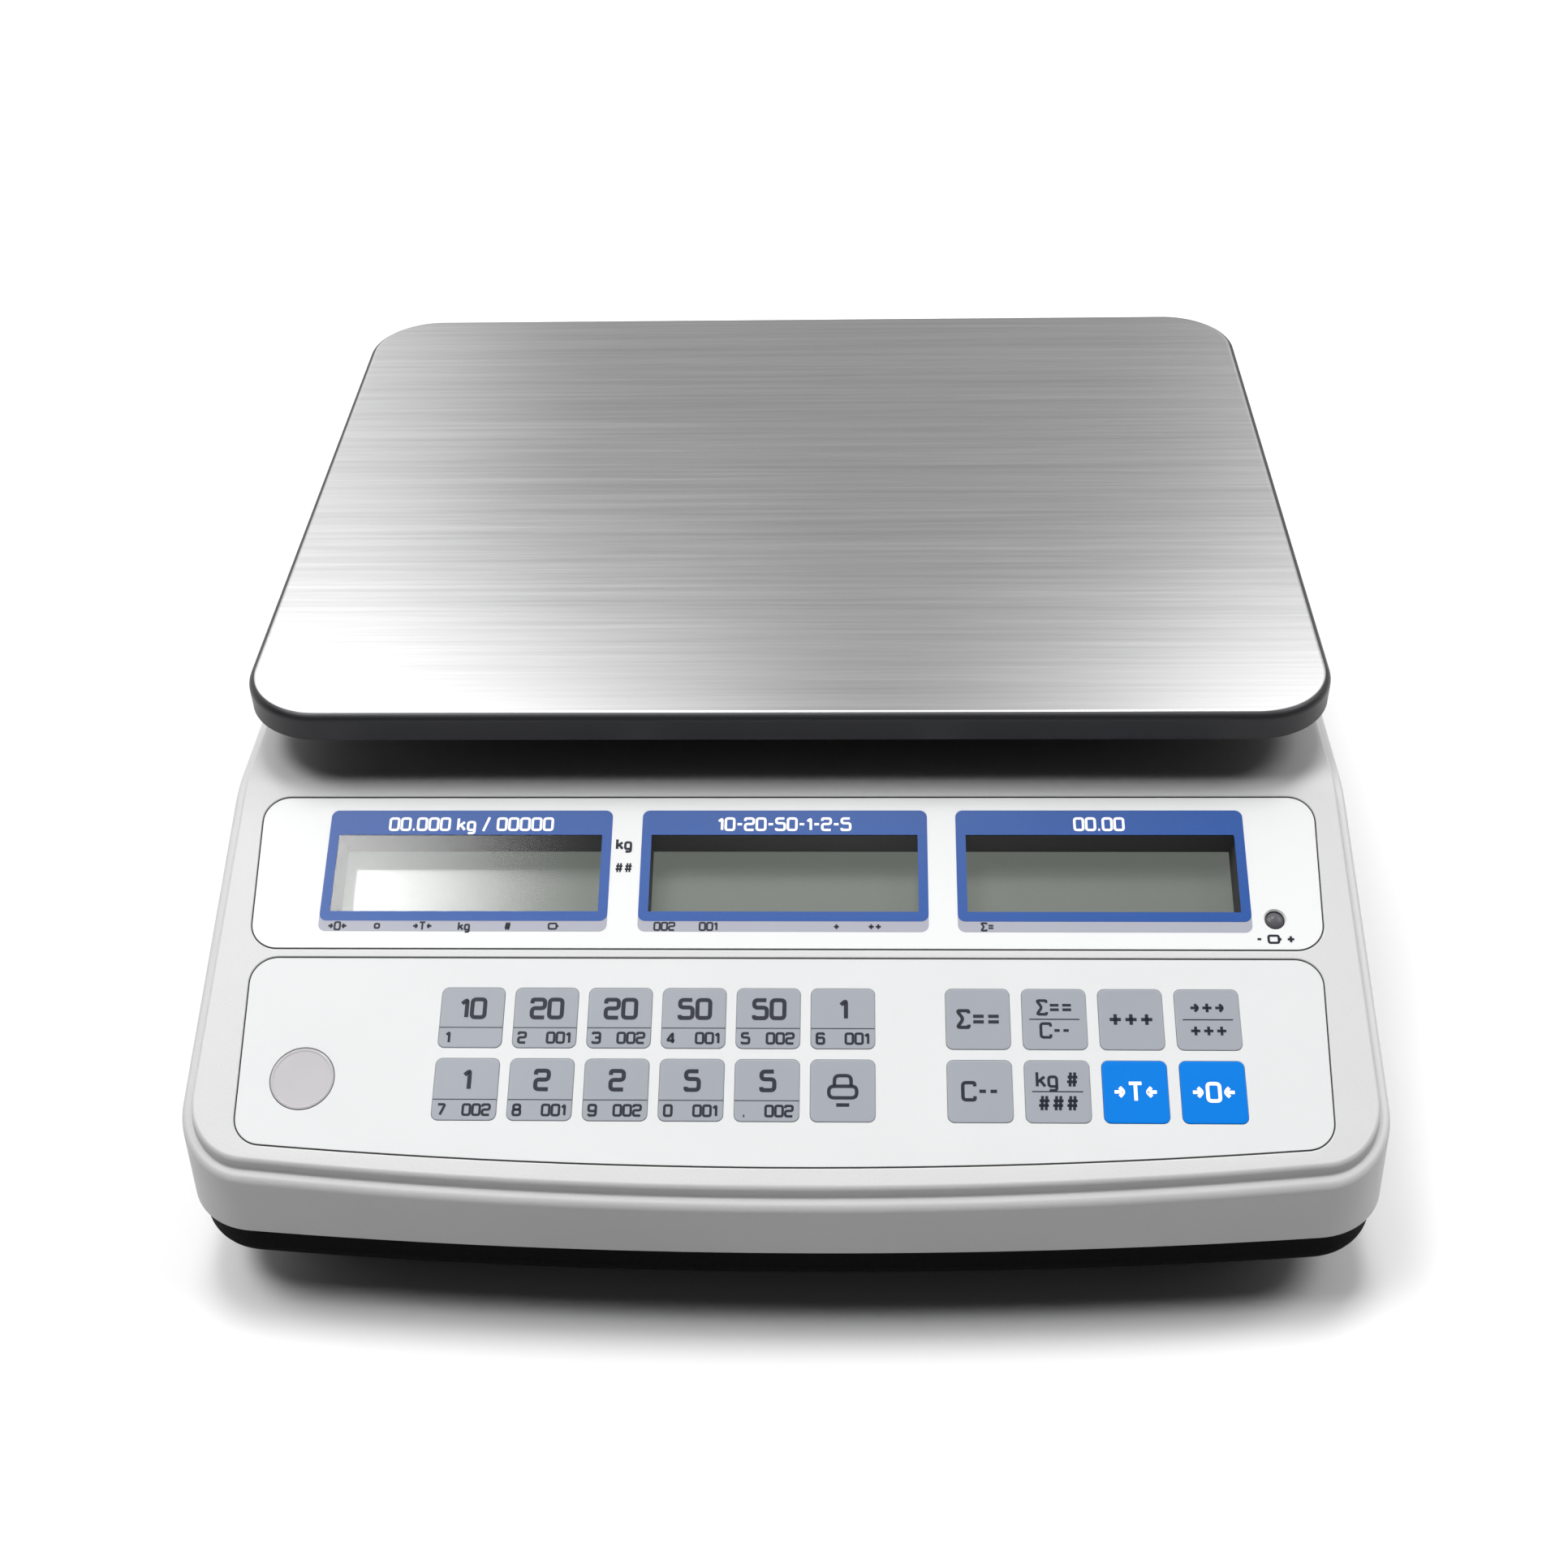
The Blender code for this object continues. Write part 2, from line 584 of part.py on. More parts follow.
def build_platform():
    floor = BASE_BOTTOM + WALL + GAP
    place("weighing_pan", weighing_pan(), "stainless")
    spider = prism(spider_outline(), 0.0, SPIDER_TOP - SPIDER_BOTTOM)
    place("pan_spider", spider, "cast_aluminium", (0, PAN_Y, SPIDER_BOTTOM))
    for side, x in (("left", -ARM_X), ("right", ARM_X)):
        for end, y in (("front", -ARM_Y), ("rear", ARM_Y)):
            low, high = SPIDER_TOP + GAP, PAN_TOP - PAN_SHEET - GAP
            pad = turned([(8.0, low), (8.0, low + 4.0), (6.0, high - 0.8), (5.0, high)], 20)
            place(f"pan_pad_{end}_{side}", pad, "rubber", (x, PAN_Y + y, 0))
    cell_top = CELL_BOTTOM + CELL_HEIGHT
    post = block((28.0, 28.0, SPIDER_BOTTOM - cell_top - 2 * GAP), (0, 0, cell_top + GAP))
    place("platform_post", post, "cell_aluminium", (0, POST_Y, 0))
    place("load_cell", load_cell(), "cell_aluminium", (0, PAN_Y, CELL_BOTTOM))
    fixed_end = PAN_Y + CELL_LENGTH / 2 - 15.0
    plinth = block((CELL_WIDTH, 30.0, CELL_BOTTOM - GAP - floor), (0, 0, floor))
    place("cell_plinth", plinth, "cell_aluminium", (0, fixed_end, 0))
    stop = turned([(5.5, floor), (5.5, floor + 3.2), (3.0, floor + 3.4), (3.0, CELL_BOTTOM - 0.6)], 12)
    place("overload_stop", stop, "zinc_steel", (0, POST_Y, 0))


# ---- inside ----------------------------------------------------------------------------------

def build_inside():
    floor = BASE_BOTTOM + WALL + GAP
    width, depth, height = BATTERY_SIZE
    case = block((width, depth, height), (0, 0, 0))
    tabs = [block((6.0, 8.0, 5.0), (x, depth / 2 - 12.0, height - 0.5)) for x in (-25.0, 25.0)]
    place("battery", fused(case, tabs), "battery_case", (BATTERY_X, BATTERY_Y, 19.4))
    core = block((46.0, 34.0, 38.0), (0, 0, 0))
    coil = block((32.0, 44.0, 24.0), (0, 0, 7.0))
    place("transformer", fused(core, [coil]), "transformer_core", (78.0, 106.0, floor))
    board = block((108.0, 78.0, 1.6), (0, 0, 0))
    parts = [block((14.0, 14.0, 2.4), (-10.0, 5.0, 1.4)), block((9.0, 26.0, 8.0), (-42.0, 0.0, 1.4))]
    parts += [turned([(5.0, 1.4), (5.0, 14.0)], 14, (30.0, y)) for y in (-20.0, 0.0)]
    parts.append(block((20.0, 8.0, 16.0), (36.0, 26.0, 1.4)))
    place("main_board", fused(board, parts), "circuit_board", (84.0, -60.0, 30.0))


# ---- feet ------------------------------------------------------------------------------------

def foot_spots():
    spots = {}
    for end, y in (("front", FOOT_FRONT_Y), ("rear", FOOT_REAR_Y)):
        for side, x in (("left", -FOOT_X), ("right", FOOT_X)):
            spots[f"{end}_{side}"] = (x, y)
    return spots


def foot_wheel():
    """A thumbwheel with finger flutes and a threaded stud that goes up into the base."""
    low, high = SOLE_HEIGHT + GAP, BASE_BOTTOM - GAP
    outline = []
    for i in range(36):
        radius = 15.0 if i % 3 else 13.8
        turn = 2 * math.pi * i / 36
        outline.append((radius * math.cos(turn), radius * math.sin(turn)))
    wheel = prism(outline, low, high)
    return fused(wheel, [turned([(STUD_R, high - 2.0), (STUD_R, 33.0)], 16)])


def build_feet():
    sole = [(16.0, 0.0), (17.0, 1.2), (17.0, 3.6), (15.0, SOLE_HEIGHT)]
    for name, spot in foot_spots().items():
        place(f"foot_sole_{name}", turned(sole, 28), "rubber", (*spot, 0))
        place(f"foot_stud_{name}", foot_wheel(), "black_plastic", (*spot, 0))


# ---- rear sockets ------------------------------------------------------------------------------

def upright(mesh):
    """Turns a mesh made flat, with its front up, so that its front faces the rear."""
    mesh.transform(Matrix.Rotation(-math.pi / 2, 4, "X"))
    return mesh


def mains_inlet():
    """A three-pin appliance inlet: flange, body, socket with chamfered corners, and blades."""
    flange = prism(rectangle(33.0, 26.0), GAP, 2.2)
    body = fused(flange, [prism(rectangle(27.2, 19.8), -19.0, 1.0)])
    mouth = [(12.2, -8.0), (12.2, 4.0), (8.6, 8.0), (-8.6, 8.0), (-12.2, 4.0), (-12.2, -8.0)]
    body = cut(body, [prism(mouth, -15.0, 8.0)])
    blades = [prism(rectangle(2.0, 4.0, spot), -15.6, -4.6) for spot in ((0, 3.2), (-7, -2.4), (7, -2.4))]
    return upright(fused(body, blades))


def switch_frame():
    flange = prism(rectangle(15.6, 23.0), GAP, 1.9)
    body = fused(flange, [prism(rectangle(12.8, 19.8), -13.0, 1.0)])
    return upright(cut(body, [prism(rectangle(10.0, 17.6), -11.5, 8.0)]))


def rocker():
    """A shallow V with its pivot at the origin; x is across and y is outward."""
    side = [(-6.4, -2.0), (6.4, -2.0), (7.6, 4.2), (0.0, 3.0), (-7.6, 4.2)]
    cap = skin([[(x, b, a) for a, b in side] for x in (-4.6, 4.6)], flat_cap(5), flat_cap(5))
    return cap


def serial_port():
    flange = prism(rounded_rectangle(31.0, 12.6, 1.5, 2), GAP, 1.5)
    shell = [(8.6, 4.2), (-8.6, 4.2), (-7.2, -4.2), (7.2, -4.2)]
    body = fused(flange, [prism(shell, -9.0, 6.0)])
    hollow = [(7.8, 3.4), (-7.8, 3.4), (-6.6, -3.4), (6.6, -3.4)]
    return upright(cut(body, [prism(hollow, 1.0, 9.0)]))


def build_sockets():
    place("mains_inlet", mains_inlet(), "black_plastic", (INLET_X, SOCKET_PANEL_Y, SOCKET_Z))
    place("switch_frame", switch_frame(), "black_plastic", (SWITCH_X, SOCKET_PANEL_Y, SOCKET_Z))
    pivot = (SWITCH_X, SOCKET_PANEL_Y - 2.0, SOCKET_Z)
    place("switch_rocker", rocker(), "black_plastic", pivot, turn=(ROCKER_REST, 0, 0))
    place("serial_port", serial_port(), "zinc_steel", (SERIAL_X, SOCKET_PANEL_Y, SOCKET_Z))


def build():
    clear_scene()
    build_housing()
    build_panel()
    build_platform()
    build_inside()
    build_feet()
    build_sockets()


build()
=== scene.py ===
"""Looks of the counting scale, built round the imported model.

Lengths are in millimetres and become metres when a mesh is made. "Panel" points are in the
sloping control panel's own frame: x across, y up the slope, z out of the panel.
"""
from math import atan2, copysign, cos, degrees, pi, radians, sin, sqrt, tan, tanh

import bmesh
import bpy
from mathutils import Matrix, Vector


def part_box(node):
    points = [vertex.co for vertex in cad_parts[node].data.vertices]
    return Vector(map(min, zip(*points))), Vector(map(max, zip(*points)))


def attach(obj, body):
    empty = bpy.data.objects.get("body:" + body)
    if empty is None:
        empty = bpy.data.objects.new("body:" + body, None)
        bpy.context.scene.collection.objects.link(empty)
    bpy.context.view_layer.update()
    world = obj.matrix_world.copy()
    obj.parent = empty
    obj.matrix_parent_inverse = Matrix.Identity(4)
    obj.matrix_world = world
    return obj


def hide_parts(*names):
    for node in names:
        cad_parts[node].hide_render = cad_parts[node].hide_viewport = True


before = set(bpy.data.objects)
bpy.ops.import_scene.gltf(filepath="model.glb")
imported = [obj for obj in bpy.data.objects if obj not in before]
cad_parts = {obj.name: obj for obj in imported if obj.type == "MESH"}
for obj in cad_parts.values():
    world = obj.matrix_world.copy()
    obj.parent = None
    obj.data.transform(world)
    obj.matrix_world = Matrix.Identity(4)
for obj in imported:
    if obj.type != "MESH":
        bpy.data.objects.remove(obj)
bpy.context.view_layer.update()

MM = 0.001
HALF_WIDTH, FRONT_Y, REAR_Y = 153.6, -169.0, 169.0
FRONT_BOW, FRONT_CORNER, REAR_CORNER = 1550.0, 20.0, 14.0
BASE_BOTTOM, PARTING, FLAT_TOP = 14.0, 27.1, 93.0
DRAFT = radians(3.0)
WALL, TOP_WALL = 2.6, 3.0
LEDGE_DROP, LEDGE_WIDTH = 3.0, 2.8

PANEL_TILT = radians(23.6)
PANEL_Y, PANEL_Z = -124.4, 65.2
FOLD_TANGENT = 5.0
DISPLAY_TOP, DISPLAY_BOTTOM, DISPLAY_HALF = 63.1, 19.3, 141.0
KEYPAD_TOP, KEYPAD_BOTTOM, KEYPAD_HALF = 16.4, -38.9, 138.6
OVERLAY_CORNER, OVERLAY_TAPER, OVERLAY_BOW = 7.0, 0.03, 1700.0
OVERLAY_THICK, RECESS, OVERLAY_STEPS = 1.2, 1.5, 12
KEY, KEY_CORNER, KEY_PITCH, KEY_ROW_PITCH = 16.3, 1.7, 19.05, 19.2
FIRST_KEY_X, FUNCTION_KEY_X, FUNCTION_KEY_PITCH = -79.5, 50.1, 19.4
KEY_PROUD = 0.15
KEY_THICK = 0.6
LCD_PITCH = 83.75
WINDOW_WIDTH, WINDOW_HEIGHT, WINDOW_Y, WINDOW_DEPTH = 72.6, 23.8, 40.9, 11.4
FRAME_WIDTH, FRAME_TOP, FRAME_BOTTOM, STRIP_BOTTOM = 76.2, 59.3, 27.0, 24.0
FRAME_OPENING = 71.0, 22.3
LED_X, LED_Y, LED_R = 127.8, 27.7, 2.5
LEVEL_X, LEVEL_Y, LEVEL_R = -121.5, -16.6, 8.2

PAN_HALF, PAN_FRONT, PAN_REAR, PAN_TOP = 147.0, -62.0, 166.0, 115.0
PAN_SKIRT, PAN_SHEET, PAN_CORNER, PAN_EDGE = 8.3, 1.0, 22.0, 2.4
PAN_Y = (PAN_FRONT + PAN_REAR) / 2
POST_Y, HATCH_R = 2.0, 23.0
FOOT_X, FOOT_FRONT_Y, FOOT_REAR_Y, SOLE_HEIGHT = 122.0, -128.0, 138.0, 5.0
BATTERY_X, BATTERY_Y, DOOR_SIZE = -60.0, 70.5, (74.0, 106.0)
SOCKET_PANEL_X, SOCKET_PANEL_Y, SOCKET_Z = 80.0, 162.0, 55.0
INLET_X, SWITCH_X, SERIAL_X = 112.0, 78.0, 48.0
ROCKER_REST = radians(-10.0)

LIFT = 0.03  # how far a printed layer stands over what it is printed on
SMOOTH_ANGLE = radians(32)


# ---- materials ----

class Wiring:
    """A node tree, wired with short calls."""

    def __init__(self, tree):
        self.tree = tree

    def add(self, kind, inputs=None, **settings):
        """A node with its settings and its inputs, by name or number."""
        node = self.tree.nodes.new(kind)
        for key, value in settings.items():
            setattr(node, key, value)
        for key, value in (inputs or {}).items():
            self.feed(node.inputs[key], value)
        return node

    def feed(self, socket, value):
        """Gives a socket a number or a colour, or links another node's output to it."""
        if isinstance(value, tuple):
            socket.default_value = (*value, 1.0)
        elif isinstance(value, (int, float)):
            socket.default_value = value
        else:
            self.tree.links.new(value, socket)

    def math(self, operation, *values):
        return self.add("ShaderNodeMath", dict(enumerate(values)), operation=operation).outputs[0]

    def ramp(self, value, start, end, low, high, kind="SMOOTHSTEP"):
        """A value from start to end becomes low to high."""
        inputs = {"Value": value, "From Min": start, "From Max": end, "To Min": low, "To Max": high}
        return self.add("ShaderNodeMapRange", inputs, interpolation_type=kind).outputs["Result"]


class Nodes(Wiring):
    """A material round one surface shader."""

    def __init__(self, name):
        self.material = bpy.data.materials.new(name)
        self.material.use_nodes = True
        super().__init__(self.material.node_tree)
        self.shader = self.tree.nodes["Principled BSDF"]

    def place(self, scale=(1, 1, 1)):
        """Object coordinates, in metres, stretched by a scale along each axis."""
        mapping = self.add("ShaderNodeMapping", {"Vector": self.add("ShaderNodeTexCoord").outputs["Object"]})
        mapping.inputs["Scale"].default_value = scale
        return mapping.outputs["Vector"]

    def noise(self, scale, detail=3.0, stretch=(1, 1, 1), rough=0.5):
        inputs = {"Scale": scale, "Detail": detail, "Roughness": rough, "Vector": self.place(stretch)}
        return self.add("ShaderNodeTexNoise", inputs).outputs["Fac"]

    def spread(self, value, low, high, start=0.3, end=0.7):
        return self.ramp(value, start, end, low, high, "LINEAR")

    def total(self, first, second, share=0.5):
        """first + share * second, for two heights."""
        return self.math("MULTIPLY_ADD", second, share, first)

    def blend(self, factor, first, second):
        return self.add("ShaderNodeMix", {0: factor, 6: first, 7: second}, data_type="RGBA").outputs[2]

    def bump(self, height, depth, strength=1.0):
        bump = self.add("ShaderNodeBump", {"Strength": strength, "Distance": depth * MM, "Height": height})
        self.feed(self.shader.inputs["Normal"], bump.outputs["Normal"])

    def colour(self, value):
        self.feed(self.shader.inputs["Base Color"], value)

    def rough(self, value):
        self.feed(self.shader.inputs["Roughness"], value)

    def put(self, **values):
        for key, value in values.items():
            self.shader.inputs[key.replace("_", " ")].default_value = value

    def finish(self, tone, colour, vary, gloss, low, high, **values):
        """Colour from one texture and roughness from another, and the shader's other values."""
        self.colour(self.blend(tone, *(shade(colour, factor) for factor in (1 - vary, 1 + vary))))
        self.rough(self.spread(gloss, low, high))
        self.put(**values)
        return self.material


def grey(value):
    return (value,) * 3


def shade(colour, factor):
    return tuple(min(1.0, channel * factor) for channel in colour)


def moulded(name, colour, rough=0.5, grain=0.035, cell=1800.0, vary=0.04, specular=0.5):
    """Moulded plastic: spark-eroded grain, faint flow clouds and slightly uneven gloss."""
    made = Nodes(name)
    fine = made.noise(cell, 4.0)
    cloud = made.noise(14.0, 2.0)
    made.bump(fine, grain)
    clouds = made.spread(made.total(cloud, fine), 0, 1, 0.5, 1.0)
    return made.finish(clouds, colour, vary, fine, rough - 0.07, rough + 0.07, Specular_IOR_Level=specular)


def film(name, colour, rough=0.32, vary=0.012, specular=0.12):
    """Printed polyester film: a very fine velvet texture under an even colour."""
    made = Nodes(name)
    fine = made.noise(5200.0, 2.0)
    made.bump(fine, 0.006)
    clouds = made.spread(made.noise(40.0, 4.0), 0, 1)
    return made.finish(clouds, colour, vary, fine, rough - 0.05, rough + 0.05, Specular_IOR_Level=specular)


def ink(name, colour):
    made = Nodes(name)
    grain = made.noise(900.0, 3.0)
    return made.finish(made.spread(grain, 0, 1), colour, 0.07, grain, 0.38, 0.5, Specular_IOR_Level=0.12)


def brushed_steel():
    """Stainless sheet brushed from left to right; on the rounded edge and skirt the colour is darkened as
    painted shade, and the roughness rises.
    """
    made = Nodes("stainless_brushed")
    fine = made.noise(1.0, 6.0, (9.0, 620.0, 620.0), 0.75)
    broad = made.noise(1.0, 3.0, (3.0, 130.0, 130.0), 0.6)
    smear = made.noise(9.0, 4.0)
    streaks = made.total(fine, broad, 0.35)
    face = made.blend(made.spread(streaks, 0, 1, 0.48, 0.87), (0.565, 0.565, 0.57), grey(0.655))
    height = made.add("ShaderNodeSeparateXYZ", {"Vector": made.place()}).outputs["Z"]
    # Painted shade: below the flat face the colour goes near-black, to darken the reflections on the rounded
    # edge and the skirt.
    fold = (PAN_TOP - 0.16) * MM, PAN_TOP * MM
    made.colour(made.blend(made.spread(height, 0, 1, *fold), (0.043, 0.043, 0.045), face))
    gloss = made.spread(made.total(streaks, smear, 0.4), 0.14, 0.19, 0.6, 1.2)
    made.rough(made.total(gloss, made.spread(height, 0.3, 0.0, *fold), 1.0))
    made.bump(streaks, 0.007, 0.5)
    made.put(Metallic=1.0, Anisotropic=0.4)
    tangent = made.add("ShaderNodeTangent", direction_type="RADIAL", axis="X")
    made.feed(made.shader.inputs["Tangent"], tangent.outputs["Tangent"])
    return made.material


def metal(name, colour, rough, grain, cell, stretch=(1, 1, 1)):
    """Cast, machined or plated metal, by the size and stretch of its grain."""
    made = Nodes(name)
    fine = made.noise(cell, 4.0, stretch)
    made.bump(fine, grain)
    smear = made.noise(60.0, 3.0)
    return made.finish(made.spread(fine, 0, 1), colour, 0.08, smear, rough - 0.08, rough + 0.08, Metallic=1.0)


def display_glass():
    """A blank liquid-crystal display: grey-green polariser with a faint glow, which is painted light for light
    falling evenly on the glass.
    """
    made = Nodes("lcd_polariser_painted_glow")
    grain = made.noise(1500.0, 3.0)
    made.colour(made.blend(made.spread(grain, 0, 1), (0.036, 0.04, 0.035), (0.042, 0.047, 0.041)))
    made.rough(made.spread(grain, 0.3, 0.4))
    made.put(Specular_IOR_Level=0.1, Coat_Weight=0.8, Coat_Roughness=0.1)
    # Painted light: this glow stands in for light falling evenly on the glass.
    made.put(Emission_Color=(0.118, 0.132, 0.116, 1.0), Emission_Strength=1.0)
    return made.material


def window_film():
    """The clear part of the display film: it shows what is behind it, under a soft gloss."""
    made = Nodes("clear_film")
    made.colour(grey(0.9))
    made.rough(made.spread(made.noise(2600.0, 2.0), 0.095, 0.105))
    made.put(IOR=1.5, Metallic=1.0)
    gloss = made.add("ShaderNodeFresnel", {"IOR": 1.28}).outputs["Fac"]
    clear = made.add("ShaderNodeBsdfTransparent").outputs["BSDF"]
    mix = made.add("ShaderNodeMixShader", {0: gloss, 1: clear, 2: made.shader.outputs["BSDF"]})
    made.feed(made.tree.nodes["Material Output"].inputs["Surface"], mix.outputs["Shader"])
    return made.material


def lens(name, colour, rough, gloss):
    made = Nodes(name)
    haze = made.noise(55.0, 3.0)
    return made.finish(made.spread(haze, 0, 1), colour, 0.05, haze, rough - 0.03, rough + 0.05,
                       Specular_IOR_Level=gloss, Coat_Weight=0.1, Coat_Roughness=0.05)


def circuit_board():
    """Green solder mask with a maze of copper tracks under it."""
    made = Nodes("solder_mask")
    grid = made.add("ShaderNodeTexBrick", {"Scale": 160.0, "Mortar Size": 0.04, "Vector": made.place()})
    made.colour(made.blend(grid.outputs["Fac"], (0.012, 0.13, 0.05), (0.06, 0.26, 0.1)))
    made.rough(made.spread(made.noise(300.0), 0.28, 0.45))
    made.bump(grid.outputs["Fac"], 0.03)
    return made.material


def floor_finish():
    made = Nodes("studio_floor")
    made.colour(made.blend(made.spread(made.noise(3.0), 0, 1), grey(0.515), grey(0.525)))
    made.rough(0.85)
    made.put(Specular_IOR_Level=0.1)
    return made.material


FINISH = {
    "housing": moulded("abs_light_grey", grey(0.325), 0.5, 0.03, 1900.0),
    "base": moulded("abs_black", grey(0.002), 0.7, 0.04, 1700.0, 0.15, 0.03),
    "film": film("film_white", (0.465, 0.468, 0.47)),
    "keypad_film": film("film_soft_white", (0.405, 0.41, 0.413), 0.38),
    "blue_print": film("print_blue", (0.011, 0.05, 0.195), 0.3, 0.03),
    "strip_print": film("print_grey", (0.225, 0.23, 0.265)),
    "white_print": ink("print_white", grey(0.62)),
    "dark_print": ink("print_dark", (0.005, 0.007, 0.014)),
    "key_grey": film("key_film_grey", (0.19, 0.203, 0.225), 0.34, 0.02),
    "key_blue": film("key_film_blue", (0.0001, 0.108, 0.395), 0.34, 0.02, 0.05),
    "circuit_film": film("film_circuit", (0.7, 0.71, 0.72), 0.3, 0.05),
    "steel": brushed_steel(),
    "cast": metal("aluminium_cast", (0.55, 0.56, 0.57), 0.5, 0.12, 900.0),
    "machined": metal("aluminium_machined", (0.66, 0.67, 0.69), 0.32, 0.02, 900.0, (0.05, 1, 1)),
    "zinc": metal("steel_zinc", (0.6, 0.6, 0.58), 0.32, 0.02, 700.0),
    "gold": metal("contacts_gilt", (0.8, 0.58, 0.22), 0.3, 0.01, 900.0),
    "core": metal("laminations", (0.16, 0.16, 0.18), 0.42, 0.1, 260.0, (0.02, 1, 0.02)),
    "rubber": moulded("rubber_black", grey(0.016), 0.82, 0.05, 1500.0, 0.2, 0.25),
    "nylon": moulded("nylon_black", (0.014, 0.014, 0.015), 0.4, 0.02, 1400.0, 0.15, 0.4),
    "gasket": moulded("gasket_dark_grey", grey(0.05), 0.7, 0.02, 1400.0, 0.1, 0.2),
    "case": moulded("case_dark_grey", (0.05, 0.05, 0.055), 0.5, 0.03, 1500.0, 0.1),
    "lcd": display_glass(),
    "window": window_film(),
    "level_lens": lens("level_lens_clear", (0.27, 0.26, 0.272), 0.35, 0.06),
    "fluid": lens("level_fluid_green", (0.62, 0.75, 0.2), 0.1, 0.5),
    "lamp": lens("lamp_lens_grey", (0.055, 0.053, 0.06), 0.45, 0.1),
    "board": circuit_board(),
}

CARRIED = {
    "battery": "case", "transformer": "core", "main_board": "board", "display_board": "board",
    "load_cell": "machined", "cell_plinth": "machined", "overload_stop": "zinc",
    "keypad_circuit": "circuit_film", "level_vial": "fluid",
}


# ---- outlines and meshes ----

def arc(centre, radius, start, end, steps):
    turns = [radians(start + (end - start) * i / steps) for i in range(steps + 1)]
    return [(centre[0] + radius * cos(t), centre[1] + radius * sin(t)) for t in turns]


def circle(radius, steps, centre=(0, 0)):
    return arc(centre, radius, 0, 360, steps)[:-1]


def rectangle(width, height, centre=(0, 0)):
    x, y = width / 2, height / 2
    return [(centre[0] + a, centre[1] + b) for a, b in ((x, -y), (x, y), (-x, y), (-x, -y))]


def rounded_rectangle(width, height, radius, steps, centre=(0, 0)):
    points = []
    for quarter, (sx, sy) in enumerate(((1, 1), (-1, 1), (-1, -1), (1, -1))):
        middle = (centre[0] + sx * (width / 2 - radius), centre[1] + sy * (height / 2 - radius))
        points += arc(middle, radius, 90 * quarter, 90 * quarter + 90, steps)
    return points


def tapered(x, y, top):
    return x - copysign(OVERLAY_TAPER * (top - y), x), y


def display_outline(grow=0.0):
    height = DISPLAY_TOP - DISPLAY_BOTTOM
    box = rounded_rectangle(2 * (DISPLAY_HALF + grow), height + 2 * grow, OVERLAY_CORNER + grow, OVERLAY_STEPS,
                            (0, (DISPLAY_TOP + DISPLAY_BOTTOM) / 2))
    return [tapered(x, y, DISPLAY_TOP) for x, y in box]


def keypad_outline(grow=0.0):
    """The keypad overlay: as the display overlay, with a bowed front edge."""
    side, radius, bow = KEYPAD_HALF + grow, OVERLAY_CORNER + grow, OVERLAY_BOW + grow
    bow_y = KEYPAD_BOTTOM - grow + bow
    corner_x = side - radius
    corner_y = bow_y - sqrt((bow - radius) ** 2 - corner_x**2)
    lean = degrees(atan2(corner_y - bow_y, corner_x))
    front = [corner_x * i / 12 for i in range(1, 12)]
    right = [(x, bow_y - sqrt(bow**2 - x**2)) for x in front]
    right += arc((corner_x, corner_y), radius, lean, 0, OVERLAY_STEPS)
    right += arc((corner_x, KEYPAD_TOP + grow - radius), radius, 0, 90, OVERLAY_STEPS)
    left = [(-x, y) for x, y in reversed(right)]
    return [tapered(x, y, KEYPAD_TOP) for x, y in right + left + [(0, bow_y - bow)]]


def fold_y():
    return PANEL_Y + (FLAT_TOP - PANEL_Z) / tan(PANEL_TILT)


def fold_rows(steps=10):
    low, high = fold_y() - FOLD_TANGENT * cos(PANEL_TILT), fold_y() + FOLD_TANGENT
    return [low + (high - low) * i / steps for i in range(steps + 1)]


def top_height(y):
    """The height of the platform's surface: slope, rounded fold, flat top."""
    rows = fold_rows()
    if y <= rows[0]:
        return PANEL_Z + (y - PANEL_Y) * tan(PANEL_TILT)
    if y >= rows[-1]:
        return FLAT_TOP
    radius = FOLD_TANGENT / tan(PANEL_TILT / 2)
    return FLAT_TOP - radius + sqrt(radius**2 - (y - rows[-1]) ** 2)


def wall_arc(centre, radius, turns):
    """Points of an arc, each with its outward normal."""
    outs = [(cos(turn), sin(turn)) for turn in turns]
    return [((centre[0] + radius * x, centre[1] + radius * y), (x, y)) for x, y in outs]


def body_outline():
    """The body's right half at the parting line: (point, outward normal), front to rear."""
    bow_centre = FRONT_Y + FRONT_BOW
    corner_x = HALF_WIDTH - FRONT_CORNER
    corner_y = bow_centre - sqrt((FRONT_BOW - FRONT_CORNER) ** 2 - corner_x**2)
    lean = atan2(corner_y - bow_centre, corner_x)
    front = [-pi / 2 + (lean + pi / 2) * i / 16 for i in range(1, 16)]
    half = wall_arc((0.0, bow_centre), FRONT_BOW, front)
    half += wall_arc((corner_x, corner_y), FRONT_CORNER, [lean * (1 - i / 18) for i in range(19)])
    half += [((HALF_WIDTH, y), (1.0, 0.0)) for y in [-110.0] + fold_rows() + [0.0, 60.0, 120.0]]
    rear = HALF_WIDTH - REAR_CORNER, REAR_Y - REAR_CORNER
    return half + wall_arc(rear, REAR_CORNER, [pi / 2 * i / 12 for i in range(13)])


def lean_in(z):
    """How far the drafted walls lean in at a height; the rear wall stays upright."""
    return max(0.0, z - PARTING) * tan(DRAFT)


